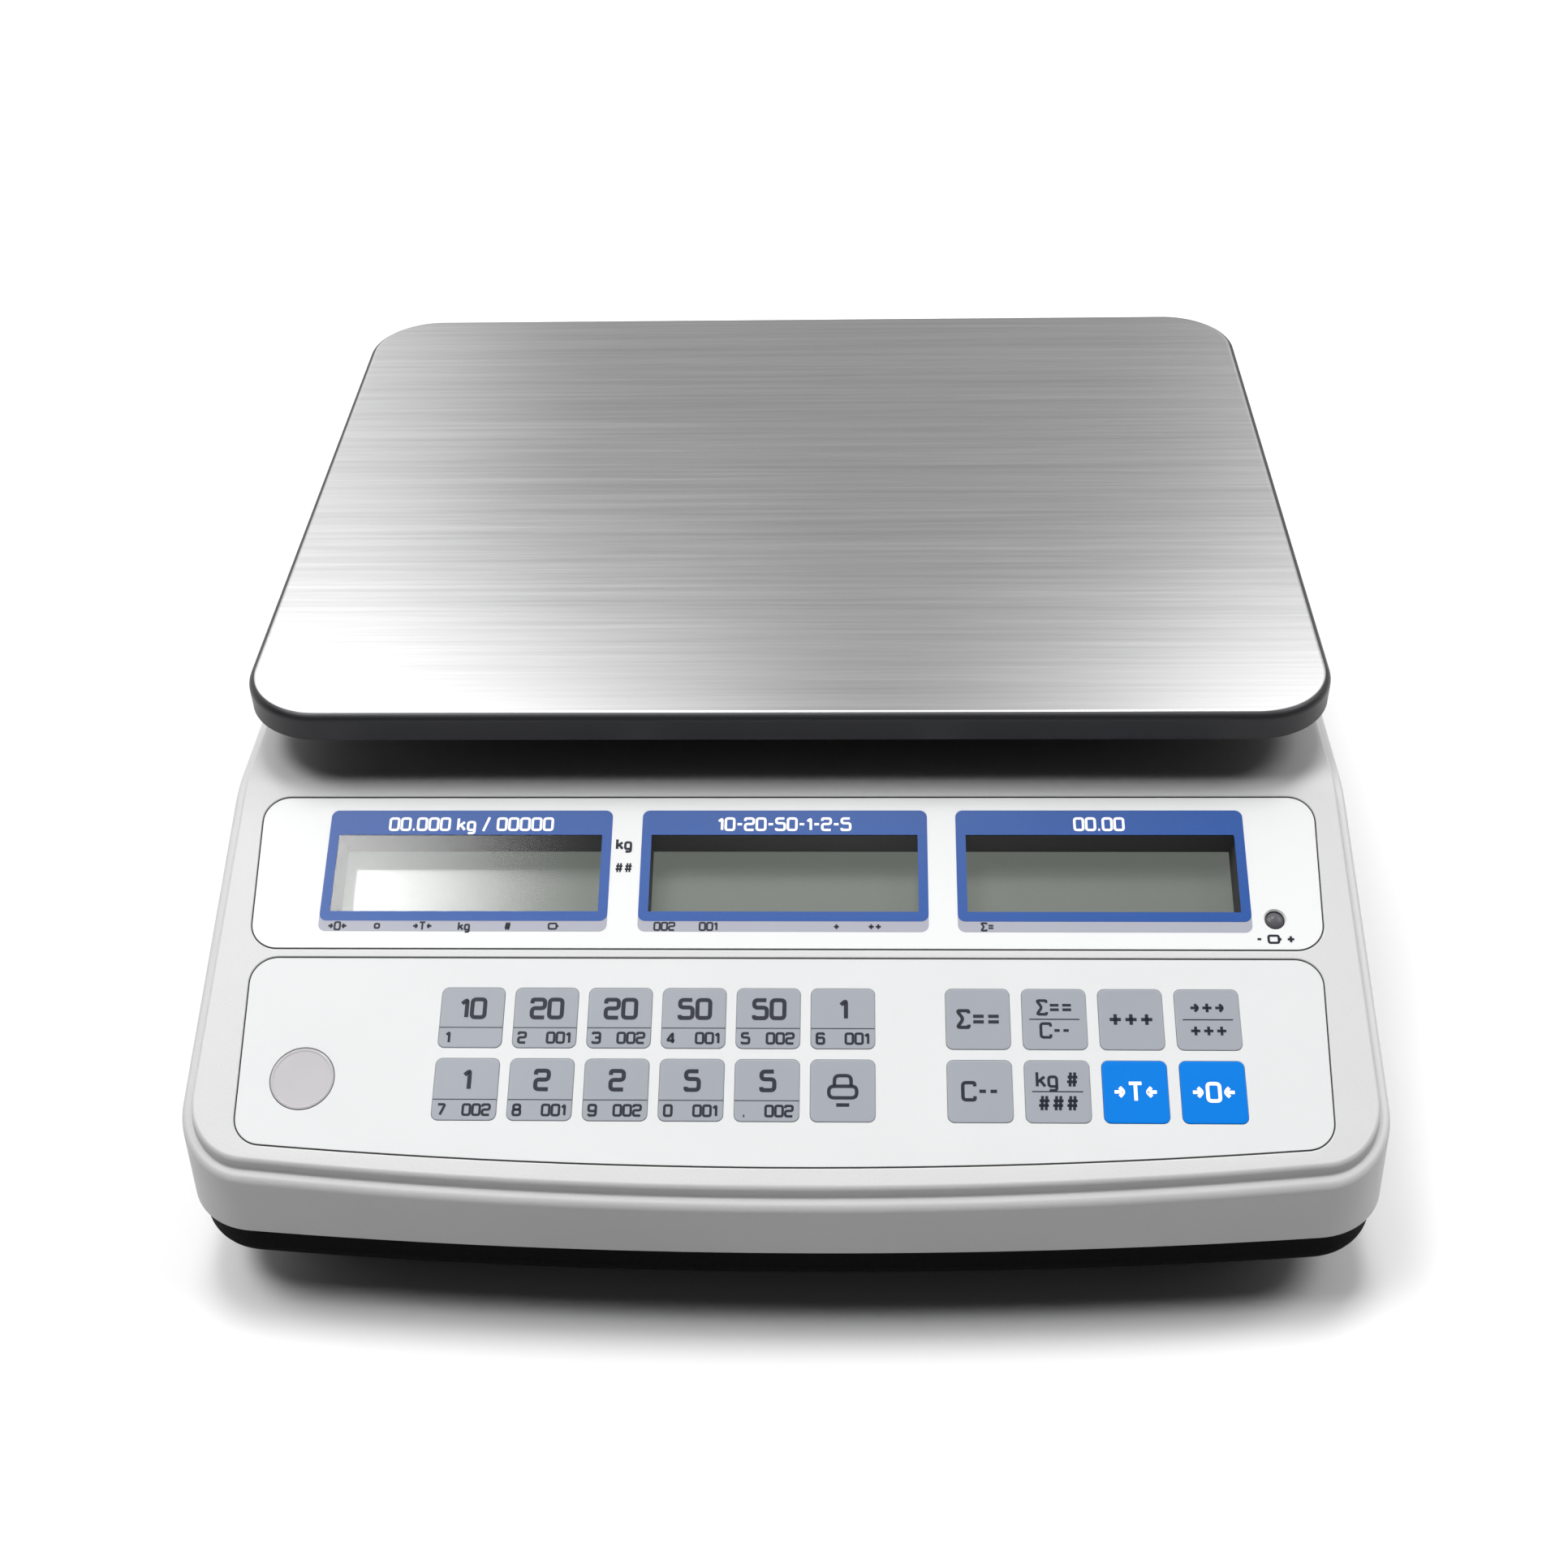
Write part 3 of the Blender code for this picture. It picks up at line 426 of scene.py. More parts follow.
def body_ring(inset, drop=None, height=None):
    """One closed loop round the body: inset from the wall, at a height or a drop below the top."""
    right = []
    for point, out in [((0.0, FRONT_Y), (0.0, -1.0))] + body_outline():
        z = height
        if height is None:
            z = top_height(point[1]) - drop
            for _ in range(3):
                z = top_height(point[1] - (inset * out[1] + lean_in(z) * min(out[1], 0))) - drop
        x = point[0] - (inset + lean_in(z)) * out[0]
        y = point[1] - inset * out[1] - lean_in(z) * min(out[1], 0)
        right.append((x, y, z))
    return right + [(-x, y, z) for x, y, z in reversed(right[1:])]


def shown(name, data):
    made = bpy.data.objects.new(name, data)
    bpy.context.collection.objects.link(made)
    return made


def closed_mesh(points, faces):
    mesh = bpy.data.meshes.new("solid")
    mesh.from_pydata([Vector(p) * MM for p in points], [], faces)
    tidy = bmesh.new()
    tidy.from_mesh(mesh)
    bmesh.ops.recalc_face_normals(tidy, faces=tidy.faces)
    tidy.to_mesh(mesh)
    tidy.free()
    return mesh


def skin(rings, start_cap=None, end_cap=None, loop=False):
    """A closed solid through rings of equal length; its ends are capped by faces of a ring, or joined."""
    count, last = len(rings[0]), len(rings) - 1
    flat = [tuple(range(count))]
    faces = [] if loop else [tuple(face) for face in start_cap or flat]
    for k in range(last + loop):
        here, there = k * count, (k + 1) % len(rings) * count
        for i in range(count):
            j = (i + 1) % count
            faces.append((here + i, here + j, there + j, there + i))
    if not loop:
        faces += [tuple(last * count + i for i in face) for face in end_cap or flat]
    return closed_mesh([p for ring in rings for p in ring], faces)


def ladder_cap(count):
    """Strips from side to side, so that the cap follows a surface that is straight across."""
    half = (count - 1) // 2
    return [(0, 1, count - 1)] + [(i, i + 1, count - i - 1, count - i) for i in range(1, half)]


def prism(outline, low, high):
    return skin([[(x, y, z) for x, y in outline] for z in (low, high)])


def block(size, centre):
    x, y, z = centre
    return prism(rectangle(size[0], size[1], (x, y)), z, z + size[2])


def turned(profile, steps=48, at=(0, 0)):
    """A turned solid from (radius, height) pairs, closed flat at both ends."""
    return skin([[(x, y, z) for x, y in circle(r, steps, at)] for r, z in profile])


def grown(radius, profile):
    """A turned profile from (grow, height) pairs about a radius."""
    return [(radius + grow, z) for grow, z in profile]


def lofted(outline_at, profile):
    """A solid through outline_at(grow) at each (grow, height) of a profile."""
    return skin([[(x, y, z) for x, y in outline_at(grow)] for grow, z in profile])


def painted(parts):
    """One mesh from (mesh, finish) pairs, and its finishes in slot order."""
    finishes = []
    joined = bmesh.new()
    for mesh, finish in parts:
        if finish not in finishes:
            finishes.append(finish)
        first = len(joined.faces)
        joined.from_mesh(mesh)
        joined.faces.ensure_lookup_table()
        for face in joined.faces[first:]:
            face.material_index = finishes.index(finish)
    mesh = bpy.data.meshes.new("painted")
    joined.to_mesh(mesh)
    joined.free()
    return mesh, finishes


def merged(meshes):
    return painted([(mesh, None) for mesh in meshes])[0]


def boolean(mesh, operation, others):
    for other in others:
        body, tool = shown("body", mesh), shown("tool", other)
        step = body.modifiers.new("step", "BOOLEAN")
        step.operation = operation
        step.object = tool
        step.solver = "EXACT"
        graph = bpy.context.evaluated_depsgraph_get()
        mesh = bpy.data.meshes.new_from_object(body.evaluated_get(graph))
        bpy.data.objects.remove(body)
        bpy.data.objects.remove(tool)
    return mesh


def cut(mesh, cutters):
    return boolean(mesh, "DIFFERENCE", [merged(cutters)])


def fused(mesh, others):
    return boolean(mesh, "UNION", others)


def on_panel(mesh, at=(0, 0, 0)):
    """Moves a mesh from the panel's frame, at a point of it, to the body's."""
    spot = Matrix.Translation(Vector((0, PANEL_Y, PANEL_Z)) * MM)
    mesh.transform(spot @ Matrix.Rotation(PANEL_TILT, 4, "X") @ Matrix.Translation(Vector(at) * MM))
    return mesh


def moved(mesh, at, turn=None):
    """Turns a mesh about the origin and moves it there; turn is (angle, axis)."""
    matrix = Matrix.Translation(Vector(at) * MM)
    if turn:
        matrix = matrix @ Matrix.Rotation(turn[0], 4, turn[1])
    mesh.transform(matrix)
    return mesh


def upright(mesh, at):
    """Turns a mesh made flat, with its front up, so that its front faces the rear."""
    return moved(mesh, at, (-pi / 2, "X"))


def piece(name, parts, body, slot, replaces=(), bevel=0.0):
    """Adds one visible piece from a mesh and its finish, or a list of such pairs."""
    if not isinstance(parts, list):
        parts = [parts]
    mesh, finishes = painted(parts)
    mesh.name = name
    for finish in finishes:
        mesh.materials.append(FINISH[finish])
    mesh.shade_smooth()
    mesh.set_sharp_from_angle(angle=SMOOTH_ANGLE)
    made = shown(name, mesh)
    if bevel:
        soften = made.modifiers.new("edge", "BEVEL")
        soften.width = bevel * MM
        soften.segments = 3
        soften.limit_method = "ANGLE"
        soften.angle_limit = radians(30)
        soften.use_clamp_overlap = True
    even = made.modifiers.new("normals", "WEIGHTED_NORMAL")
    even.keep_sharp = True
    even.weight = 100
    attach(made, body)
    if replaces:
        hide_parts(*replaces)
    return made


def panel_piece(name, parts, at, *rest):
    """A piece from (mesh, finish) pairs in the panel's frame, at a point of it."""
    piece(name, [(on_panel(mesh, at), finish) for mesh, finish in parts], *rest)


def refined(node, finish, body, slot, bevel=0.4):
    """A CAD piece with its edges rounded and a finish of its own."""
    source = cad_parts[node].data.copy()
    tidy = bmesh.new()
    tidy.from_mesh(source)
    bmesh.ops.remove_doubles(tidy, verts=tidy.verts, dist=1e-6)
    bmesh.ops.dissolve_limit(tidy, angle_limit=radians(1), verts=tidy.verts, edges=tidy.edges)
    for face in tidy.faces:
        face.material_index = 0
    tidy.to_mesh(source)
    tidy.free()
    return piece(f"{node}_finished", (source, finish), body, slot, [node], bevel)


# ---- legends: an original stroke alphabet of digits and plain signs ----

# Each sign is its width and its strokes, as x and y in turn on a grid six high; a bar parts the
# strokes, and a stroke that ends where it starts is closed.
SIGNS = {
    "0": (4, "0 0  4 0  4 6  0 6  0 0"),
    "1": (1.8, "0 4.5  1.6 6  1.6 0"),
    "2": (4, "0 4.7  0 6  4 6  4 3.1  0 3.1  0 0  4 0"),
    "3": (4, "0 5  0 6  4 6  4 0  0 0  0 1 | 1.2 3.1  4 3.1"),
    "4": (4.2, "3.1 0  3.1 6  0 1.5  4.2 1.5"),
    "5": (4, "3.8 6  0 6  0 3.5  4 3.5  4 0  0 0  0 1"),
    "6": (4, "3.8 5  3.8 6  0 6  0 0  4 0  4 3.5  0.2 3.5"),
    "7": (4, "0 6  4 6  1.4 0"),
    "8": (4, "0.2 3.2  3.8 3.2  3.8 6  0.2 6  0.2 3.2 | 0 0  4 0  4 3.2  0 3.2  0 0"),
    "9": (4, "0.2 1  0.2 0  4 0  4 6  0 6  0 2.5  3.8 2.5"),
    ".": (0.8, "0 0.1  0.8 0.1"),
    "/": (2.6, "0 -0.6  2.6 6.6"),
    "+": (3.8, "0 3  3.8 3 | 1.9 1.1  1.9 4.9"),
    "=": (3.6, "0 2  3.6 2 | 0 4  3.6 4"),
    "-": (2.2, "0 3  2.2 3"),
    "#": (4.2, "1.1 0  1.6 6 | 2.8 0  3.3 6 | 0 2  4 2 | 0.3 4  4.3 4"),
    "k": (3.2, "0 0  0 6 | 3 4.1  0.3 1.9 | 1.2 2.6  3.2 0"),
    "g": (3.2, "3.2 0  0 0  0 4.1  3.2 4.1  3.2 -1.7  0.2 -1.7"),
    "C": (4, "4 4.7  4 6  0 6  0 0  4 0  4 1.3"),
    "T": (4.2, "0 6  4.2 6 | 2.1 6  2.1 0"),
    "S": (4, "4 5  4 6  0 6  2.2 3  0 0  4 0  4 1"),
    ">": (3.4, "0 3  3.2 3 | 1.7 4.6  3.3 3  1.7 1.4"),
    "<": (3.4, "0.2 3  3.4 3 | 1.7 4.6  0.1 3  1.7 1.4"),
    "o": (3.4, "0 1.3  3.4 1.3  3.4 4.7  0 4.7  0 1.3"),
    "B": (6.6, "0 0.8  5.8 0.8  5.8 5.2  0 5.2  0 0.8 | 6.6 2.2  6.6 3.8"),
    "P": (6, "0 1.4  6 1.4  6 4  0 4  0 1.4 | 1.2 4  1.2 6.4  4.8 6.4  4.8 4 | 1.6 -0.2  4.4 -0.2"),
    " ": (1.2, ""),
}
SIGN_SPACE = 1.5
SIGN_CORNER = 1.15


def strokes_of(signs):
    """Each stroke as its list of points."""
    for stroke in signs.split("|"):
        numbers = [float(word) for word in stroke.split()]
        if numbers:
            yield list(zip(numbers[::2], numbers[1::2]))


def eased(points, closed):
    """A stroke with its corners rounded."""
    vectors = [Vector(p) for p in points]
    if closed:
        vectors = vectors[:-1]
    count = len(vectors)
    path = []
    for i, here in enumerate(vectors):
        if not closed and i in (0, count - 1):
            path.append(here)
            continue
        before, after = vectors[i - 1] - here, vectors[(i + 1) % count] - here
        reach = min(SIGN_CORNER, before.length / 2, after.length / 2)
        start, end = here + before.normalized() * reach, here + after.normalized() * reach
        for step in range(5):
            t = step / 4
            path.append(start * (1 - t) ** 2 + here * (2 * t * (1 - t)) + end * t**2)
    return path


def ribbon(path, closed, half, low, high):
    """A flat band of even width along a path, as a closed solid."""
    rings = []
    for i, here in enumerate(path):
        arms = []
        if closed or i:
            arms.append((here - path[i - 1]).normalized())
        if closed or i < len(path) - 1:
            arms.append((path[(i + 1) % len(path)] - here).normalized())
        along = sum(arms, Vector((0, 0))).normalized()
        out = Vector((along.y, -along.x))
        out *= half / max(0.6, out.dot(Vector((arms[0].y, -arms[0].x))))
        left, right = here + out, here - out
        rings.append([(*left, low), (*right, low), (*right, high), (*left, high)])
    return skin(rings, loop=closed)


def legend(text, centre, height, low, weight=0.15, align=0.5):
    """Meshes of a line of signs; centre is the middle of its height, at its align point."""
    unit = height / 6
    width = sum(SIGNS[sign][0] for sign in text) + SIGN_SPACE * (len(text) - 1)
    x = centre[0] - width * unit * align
    y = centre[1] - height / 2
    meshes = []
    for sign in text:
        advance, strokes = SIGNS[sign]
        for stroke in strokes_of(strokes):
            closed = stroke[0] == stroke[-1]
            path = [Vector((x, y)) + p * unit for p in eased(stroke, closed)]
            meshes.append(ribbon(path, closed, height * weight / 2, low, low + LIFT))
        x += (advance + SIGN_SPACE) * unit
    return meshes


def rule(width, centre, low, thick=0.22):
    """A thin printed line."""
    return prism(rectangle(width, thick, centre), low, low + LIFT)


# ---- housing ----

def rounded(radius, steps, inset, drop):
    """(inset, drop) pairs over a convex quarter round that ends at a lesser drop."""
    turns = [pi / 2 * i / steps for i in range(steps + 1)]
    return [(inset + radius * (1 - cos(t)), drop + radius * (1 - sin(t))) for t in turns]


def housing_shell():
    """Wall, rounded shoulder, narrow ledge, step and platform, hollow and open underneath."""
    profile = rounded(1.4, 7, 0.0, LEDGE_DROP)
    profile += [(LEDGE_WIDTH - 0.35, LEDGE_DROP), (LEDGE_WIDTH - 0.1, LEDGE_DROP - 0.1)]
    profile += [(LEDGE_WIDTH, LEDGE_DROP - 0.35)] + rounded(0.9, 6, LEDGE_WIDTH, 0.0)
    outer = [body_ring(0.25, height=PARTING), body_ring(0.0, height=PARTING + 0.25)]
    outer += [body_ring(inset, drop) for inset, drop in profile]
    inner = [body_ring(WALL, height=PARTING), body_ring(WALL, LEDGE_DROP + WALL)]
    inner.append(body_ring(LEDGE_WIDTH + WALL, LEDGE_DROP + WALL))
    inner.append(body_ring(LEDGE_WIDTH + WALL, TOP_WALL))
    cap = ladder_cap(len(outer[0]))
    return skin(outer[::-1] + inner, cap, cap)


def lcd_centres():
    return [(LCD_PITCH * k, WINDOW_Y) for k in (-1, 0, 1)]


def rear_block(size, x, y):
    return block(size, (x, y, SOCKET_Z - size[2] / 2))


def upper_housing():
    shell = housing_shell()
    tunnel = WINDOW_WIDTH + 4.0, WINDOW_HEIGHT + 4.0
    tunnels = [on_panel(prism(rectangle(*tunnel, spot), 0.3 - WINDOW_DEPTH, -2.0)) for spot in lcd_centres()]
    recessed = rear_block((114.0, 8.6, 40.0), SOCKET_PANEL_X, SOCKET_PANEL_Y + 1.7)
    collar = turned([(HATCH_R + 4.0, FLAT_TOP - 2.0), (HATCH_R + 4.0, FLAT_TOP),
                     (HATCH_R + 3.6, FLAT_TOP + 1.6), (HATCH_R + 3.0, FLAT_TOP + 2.2)], 64, (0, POST_Y))
    shell = fused(shell, tunnels + [recessed, collar])
    lip = [(0.3, -RECESS), (0.3, -0.4), (0.36, -0.18), (0.5, -0.05), (0.72, 0.0), (0.9, 6.0)]
    cutters = [on_panel(lofted(display_outline, lip)), on_panel(lofted(keypad_outline, lip))]
    cutters.append(rear_block((108.0, 20.0, 34.0), SOCKET_PANEL_X, SOCKET_PANEL_Y + 10.0))
    shell = cut(shell, cutters)
    window = WINDOW_WIDTH, WINDOW_HEIGHT
    holes = [on_panel(prism(rectangle(*window, spot), -20.0, 5.0)) for spot in lcd_centres()]
    holes.append(on_panel(turned([(3.1, -12.0), (3.1, 5.0)], 32), (LED_X, LED_Y, 0)))
    holes.append(on_panel(turned([(8.3, -12.0), (8.3, 5.0)], 64), (LEVEL_X, LEVEL_Y, 0)))
    holes.append(turned([(HATCH_R, FLAT_TOP - 10.0), (HATCH_R, FLAT_TOP + 10.0)], 64, (0, POST_Y)))
    for width, height, x in ((27.8, 20.4, INLET_X), (13.4, 20.4, SWITCH_X), (21.0, 11.4, SERIAL_X)):
        holes.append(rear_block((width, 30.0, height), x, SOCKET_PANEL_Y))
    return cut(shell, holes)


def foot_spots():
    return {f"{end}_{side}": (x, y) for end, y in (("front", FOOT_FRONT_Y), ("rear", FOOT_REAR_Y))
            for side, x in (("left", -FOOT_X), ("right", FOOT_X))}


BASE_SCREWS = [(-96.0, -146.0), (96.0, -146.0), (-122.0, 4.0), (122.0, 4.0), (-60.0, 150.0), (60.0, 150.0)]
DOOR_SCREW = (BATTERY_X, BATTERY_Y - 48.0)


def lower_housing():
    """The black tray, with foot bosses, door opening, sunk screw wells and a row of vents."""
    radius, wall, rim = 5.6, 1.6, PARTING - 0.3
    outer = [body_ring(1.5, height=rim), body_ring(1.2, height=rim - 0.3)]
    for i in range(10):
        swing = pi / 2 * i / 9
        inset = wall + radius * (1 - cos(swing))
        outer.append(body_ring(inset, height=BASE_BOTTOM + radius * (1 - sin(swing))))
    inner = [body_ring(3.8, height=rim), body_ring(4.2, height=BASE_BOTTOM + radius)]
    inner.append(body_ring(wall + radius, height=BASE_BOTTOM + WALL))
    tray = skin(outer[::-1] + inner)
    bosses = [turned([(7.0, BASE_BOTTOM + 1.0), (6.6, 36.0)], 32, spot) for spot in foot_spots().values()]
    bosses.append(prism(rectangle(84.0, 116.0, (BATTERY_X, BATTERY_Y)), BASE_BOTTOM + 1.0, 19.0))
    bosses += [turned([(5.5, BASE_BOTTOM + 1.0), (5.2, 20.0)], 24, spot) for spot in BASE_SCREWS]
    tray = fused(tray, bosses)
    cutters = [turned([(4.4, 0.0), (4.4, 40.0)], 32, spot) for spot in foot_spots().values()]
    cutters += [turned([(3.9, 0.0), (3.7, BASE_BOTTOM + 3.0)], 24, spot) for spot in BASE_SCREWS]
    door = rectangle(DOOR_SIZE[0] + 0.6, DOOR_SIZE[1] + 0.6, (BATTERY_X, BATTERY_Y))
    cutters.append(prism(door, 0.0, BASE_BOTTOM + 2.3))
    vents = [rounded_rectangle(2.4, 30.0, 1.19, 6, (66.0 + 6.0 * i, 96.0)) for i in range(8)]
    cutters += [prism(vent, 0.0, 25.0) for vent in vents]
    tray = cut(tray, cutters)
    well = rectangle(DOOR_SIZE[0] - 6.0, DOOR_SIZE[1] - 6.0, (BATTERY_X, BATTERY_Y))
    return cut(tray, [prism(well, BASE_BOTTOM, 30.0)])


def screw_head(radius, height):
    """A pan-head screw, head up, with a cross recess."""
    dome = [(1.0, 0.0), (1.0, 0.45), (0.9, 0.78), (0.62, 0.96), (0.3, 1.0)]
    head = turned([(radius * across, height * up) for across, up in dome], 32)
    slots = [prism(rectangle(radius * 1.1, radius * 0.26), height * 0.4, height * 2)]
    slots.append(prism(rectangle(radius * 0.26, radius * 1.1), height * 0.4, height * 2))
    return cut(cut(head, slots[:1]), slots[1:])


def build_housing():
    piece("upper_shell", (upper_housing(), "housing"), "base", "housing_abs", ["upper_housing"])
    piece("lower_shell", (lower_housing(), "base"), "base", "base_abs", ["lower_housing"])
    door = prism(rounded_rectangle(*DOOR_SIZE, 1.2, 4), 0.0, 1.8)
    grips = [prism(rounded_rectangle(24.0, 1.6, 0.79, 5, (0, 34.0 + 4.0 * i)), -1.0, 0.7) for i in range(4)]
    grips.append(turned([(3.4, -1.0), (3.2, 1.0)], 24, (0, -48.0)))
    door = moved(cut(door, grips), (BATTERY_X, BATTERY_Y, BASE_BOTTOM + 0.2))
    piece("battery_hatch", (door, "base"), "base", "base_abs", ["battery_door"], 0.2)
    heads = [moved(screw_head(3.3, 1.8), (x, y, BASE_BOTTOM + 2.9), (pi, "X")) for x, y in BASE_SCREWS]
    heads.append(moved(screw_head(2.8, 1.0), (*DOOR_SCREW, BASE_BOTTOM + 1.1), (pi, "X")))
    piece("base_screws", (merged(heads), "zinc"), "base", "zinc_steel")


# ---- control panel ----

LEFT_KEYS = (("10", "1", ""), ("20", "2", "001"), ("20", "3", "002"), ("50", "4", "001"), ("50", "5", "002"),
             ("1", "6", "001"), ("1", "7", "002"), ("2", "8", "001"), ("2", "9", "002"), ("5", "0", "001"),
             ("5", ".", "002"), ("P", "", ""))
RIGHT_KEYS = ("S==", "S==/C--", "+++", ">+>/+++", "C--", "kg #/###", ">T<", ">0<")


def key_spots():
    blocks = ("left", 6, FIRST_KEY_X, KEY_PITCH), ("right", 4, FUNCTION_KEY_X, FUNCTION_KEY_PITCH)
    return {f"key_{side}_{row + 1}_{column + 1}": (start + pitch * column, -KEY_ROW_PITCH * row)
            for row in range(2) for side, count, start, pitch in blocks for column in range(count)}


def key_outline(grow=0.0):
    return rounded_rectangle(KEY + 2 * grow, KEY + 2 * grow, KEY_CORNER + grow, 8)


def left_legend(large, small, note):
    face = KEY_PROUD
    if not small:
        return legend(large, (0, 0), 7.0, face, 0.13)
    meshes = legend(large, (0.2, 2.5), 4.9, face, 0.22)
    meshes.append(rule(KEY - 0.1, (0, -2.7), face))
    meshes += legend(small, (-5.7, -5.4), 2.7, face, 0.25)
    if note:
        meshes += legend(note, (6.5, -5.4), 2.7, face, 0.24, 1.0)
    return meshes


def right_legend(text):
    face = KEY_PROUD
    if "/" not in text:
        return legend(text, (0, 0), 4.5, face, 0.2)
    upper, lower = text.split("/")
    meshes = legend(upper, (0, 3.2), 3.7, face, 0.2) + legend(lower, (0, -3.0), 3.7, face, 0.2)
    meshes.append(rule(KEY * 0.78, (0, 0), face, 0.3))
    return meshes


def build_keys():
    """Twenty embossed pads, each with its own legend."""
    left, right = list(LEFT_KEYS), list(RIGHT_KEYS)
    crown = [(0.0, KEY_PROUD - KEY_THICK), (0.0, 0.0), (-0.04, 0.07), (-0.14, 0.12), (-0.32, KEY_PROUD)]
    for name, (x, y) in key_spots().items():
        blue = name in ("key_right_2_3", "key_right_2_4")
        marks = left_legend(*left.pop(0)) if "left" in name else right_legend(right.pop(0))
        parts = [(lofted(key_outline, crown), "key_blue" if blue else "key_grey")]
        parts += [(mark, "white_print" if blue else "dark_print") for mark in marks]
        panel_piece(f"{name}_pad", parts, (x, y, 0), name, "key_blue" if blue else "key_grey", [name])


FILM_EDGE = [(0.0, -0.12), (-0.05, -0.03), (-0.16, 0.0)]


def build_keypad():
    """The keypad film: a sheet with a rolled edge, holes for the pads and for the level."""
    sheet = lofted(keypad_outline, [(0.0, -0.5)] + FILM_EDGE)
    gap = 0.06
    holes = []
    for x, y in key_spots().values():
        hole = lofted(key_outline, [(gap, -5.0), (gap, -0.1), (gap + 0.1, 0.0), (gap + 0.1, 5.0)])
        holes.append(moved(hole, (x, y, 0)))
    level_hole = grown(LEVEL_R, [(0.1, -5.0), (0.1, -0.15), (0.3, 0.05), (0.3, 5.0)])
    holes.append(turned(level_hole, 96, (LEVEL_X, LEVEL_Y)))
    film_sheet = cut(sheet, holes)
    # Painted shade: a dark ring in the gap round each overlay's edge, to darken the gap's outline.
    gap_shade_rings = []
    for outline in (display_outline, keypad_outline):
        ring = lofted(outline, [(0.29, -RECESS + 0.05), (0.29, -0.12)])
        gap_shade_rings.append(on_panel(cut(ring, [lofted(outline, [(0.02, -5.0), (0.02, 5.0)])])))
    piece("overlay_gap_shade", (merged(gap_shade_rings), "rubber"), "base", "overlay_film")
    piece("keypad_film", (on_panel(film_sheet), "keypad_film"), "base", "overlay_film", ["keypad_overlay"])


def frame_outline(top, bottom):
    return rounded_rectangle(FRAME_WIDTH, top - bottom, 2.0, 8, (0, (top + bottom) / 2))


HEADERS = ("00.000 kg / 00000", "10-20-50-1-2-5", "00.00")
STRIP_SIGNS = (((-33.0, ">0<"), (-22.5, "o"), (-10.5, ">T<"), (0.5, "kg"), (12.0, "#"), (24.0, "B")),
               ((-31.0, "002"), (-19.5, "001"), (14.0, "+"), (24.0, "++")), ((-30.5, "S="),))


def build_display():
    """The display film: a white sheet with three clear windows, printed frames and signs."""
    holes = []
    for spot in lcd_centres():
        holes.append(prism(rectangle(WINDOW_WIDTH, WINDOW_HEIGHT, spot), -5.0, 5.0))
    lamp_hole = grown(LED_R, [(0.1, -5.0), (0.1, -0.4), (0.5, 0.0), (0.5, 5.0)])
    holes.append(turned(lamp_hole, 48, (LED_X, LED_Y)))
    sheet = cut(lofted(display_outline, [(0.0, -OVERLAY_THICK)] + FILM_EDGE), holes)
    piece("display_film", (on_panel(sheet), "film"), "base", "overlay_film", ["display_overlay"])
    for side, (x, y), header, signs in zip(("left", "middle", "right"), lcd_centres(), HEADERS, STRIP_SIGNS):
        pane = on_panel(prism(rectangle(WINDOW_WIDTH - 0.04, WINDOW_HEIGHT - 0.04), -0.25, -0.02), (x, y, 0))
        piece(f"window_{side}", (pane, "window"), "base", "overlay_film")
        frame_print = prism(frame_outline(FRAME_TOP, FRAME_BOTTOM), 0.0, LIFT * 2)
        opening = prism(rectangle(*FRAME_OPENING, (0, y)), -1.0, 1.0)
        parts = [(cut(frame_print, [opening]), "blue_print")]
        strip = prism(frame_outline(FRAME_TOP - 5.0, STRIP_BOTTOM), -0.01, LIFT)
        above = prism(rectangle(90.0, 60.0, (0, FRAME_BOTTOM + 31.5)), -1.0, 1.0)
        parts.append((cut(strip, [above]), "strip_print"))
        parts += [(mark, "white_print") for mark in legend(header, (0, 55.2), 3.4, LIFT * 2, 0.2)]
        for along, sign in signs:
            marks = legend(sign, (along, 25.5), 2.1, LIFT, 0.25)
            parts += [(mark, "dark_print") for mark in marks]
        shift = -0.5 if side == "left" else 0.0
        panel_piece(f"display_print_{side}", parts, (x + shift, 0, 0), "base", "overlay_film")
    build_lcds()
    marks = legend("kg", (-LCD_PITCH + 41.0, 49.3), 2.8, 0.0, 0.25)
    marks += legend("##", (-LCD_PITCH + 41.2, 42.4), 2.6, 0.0, 0.2)
    marks += legend("- B +", (LED_X - 0.3, 22.2), 2.7, 0.0, 0.24)
    panel_piece("display_signs", [(mark, "dark_print") for mark in marks], (0, 0, 0), "base", "overlay_film")


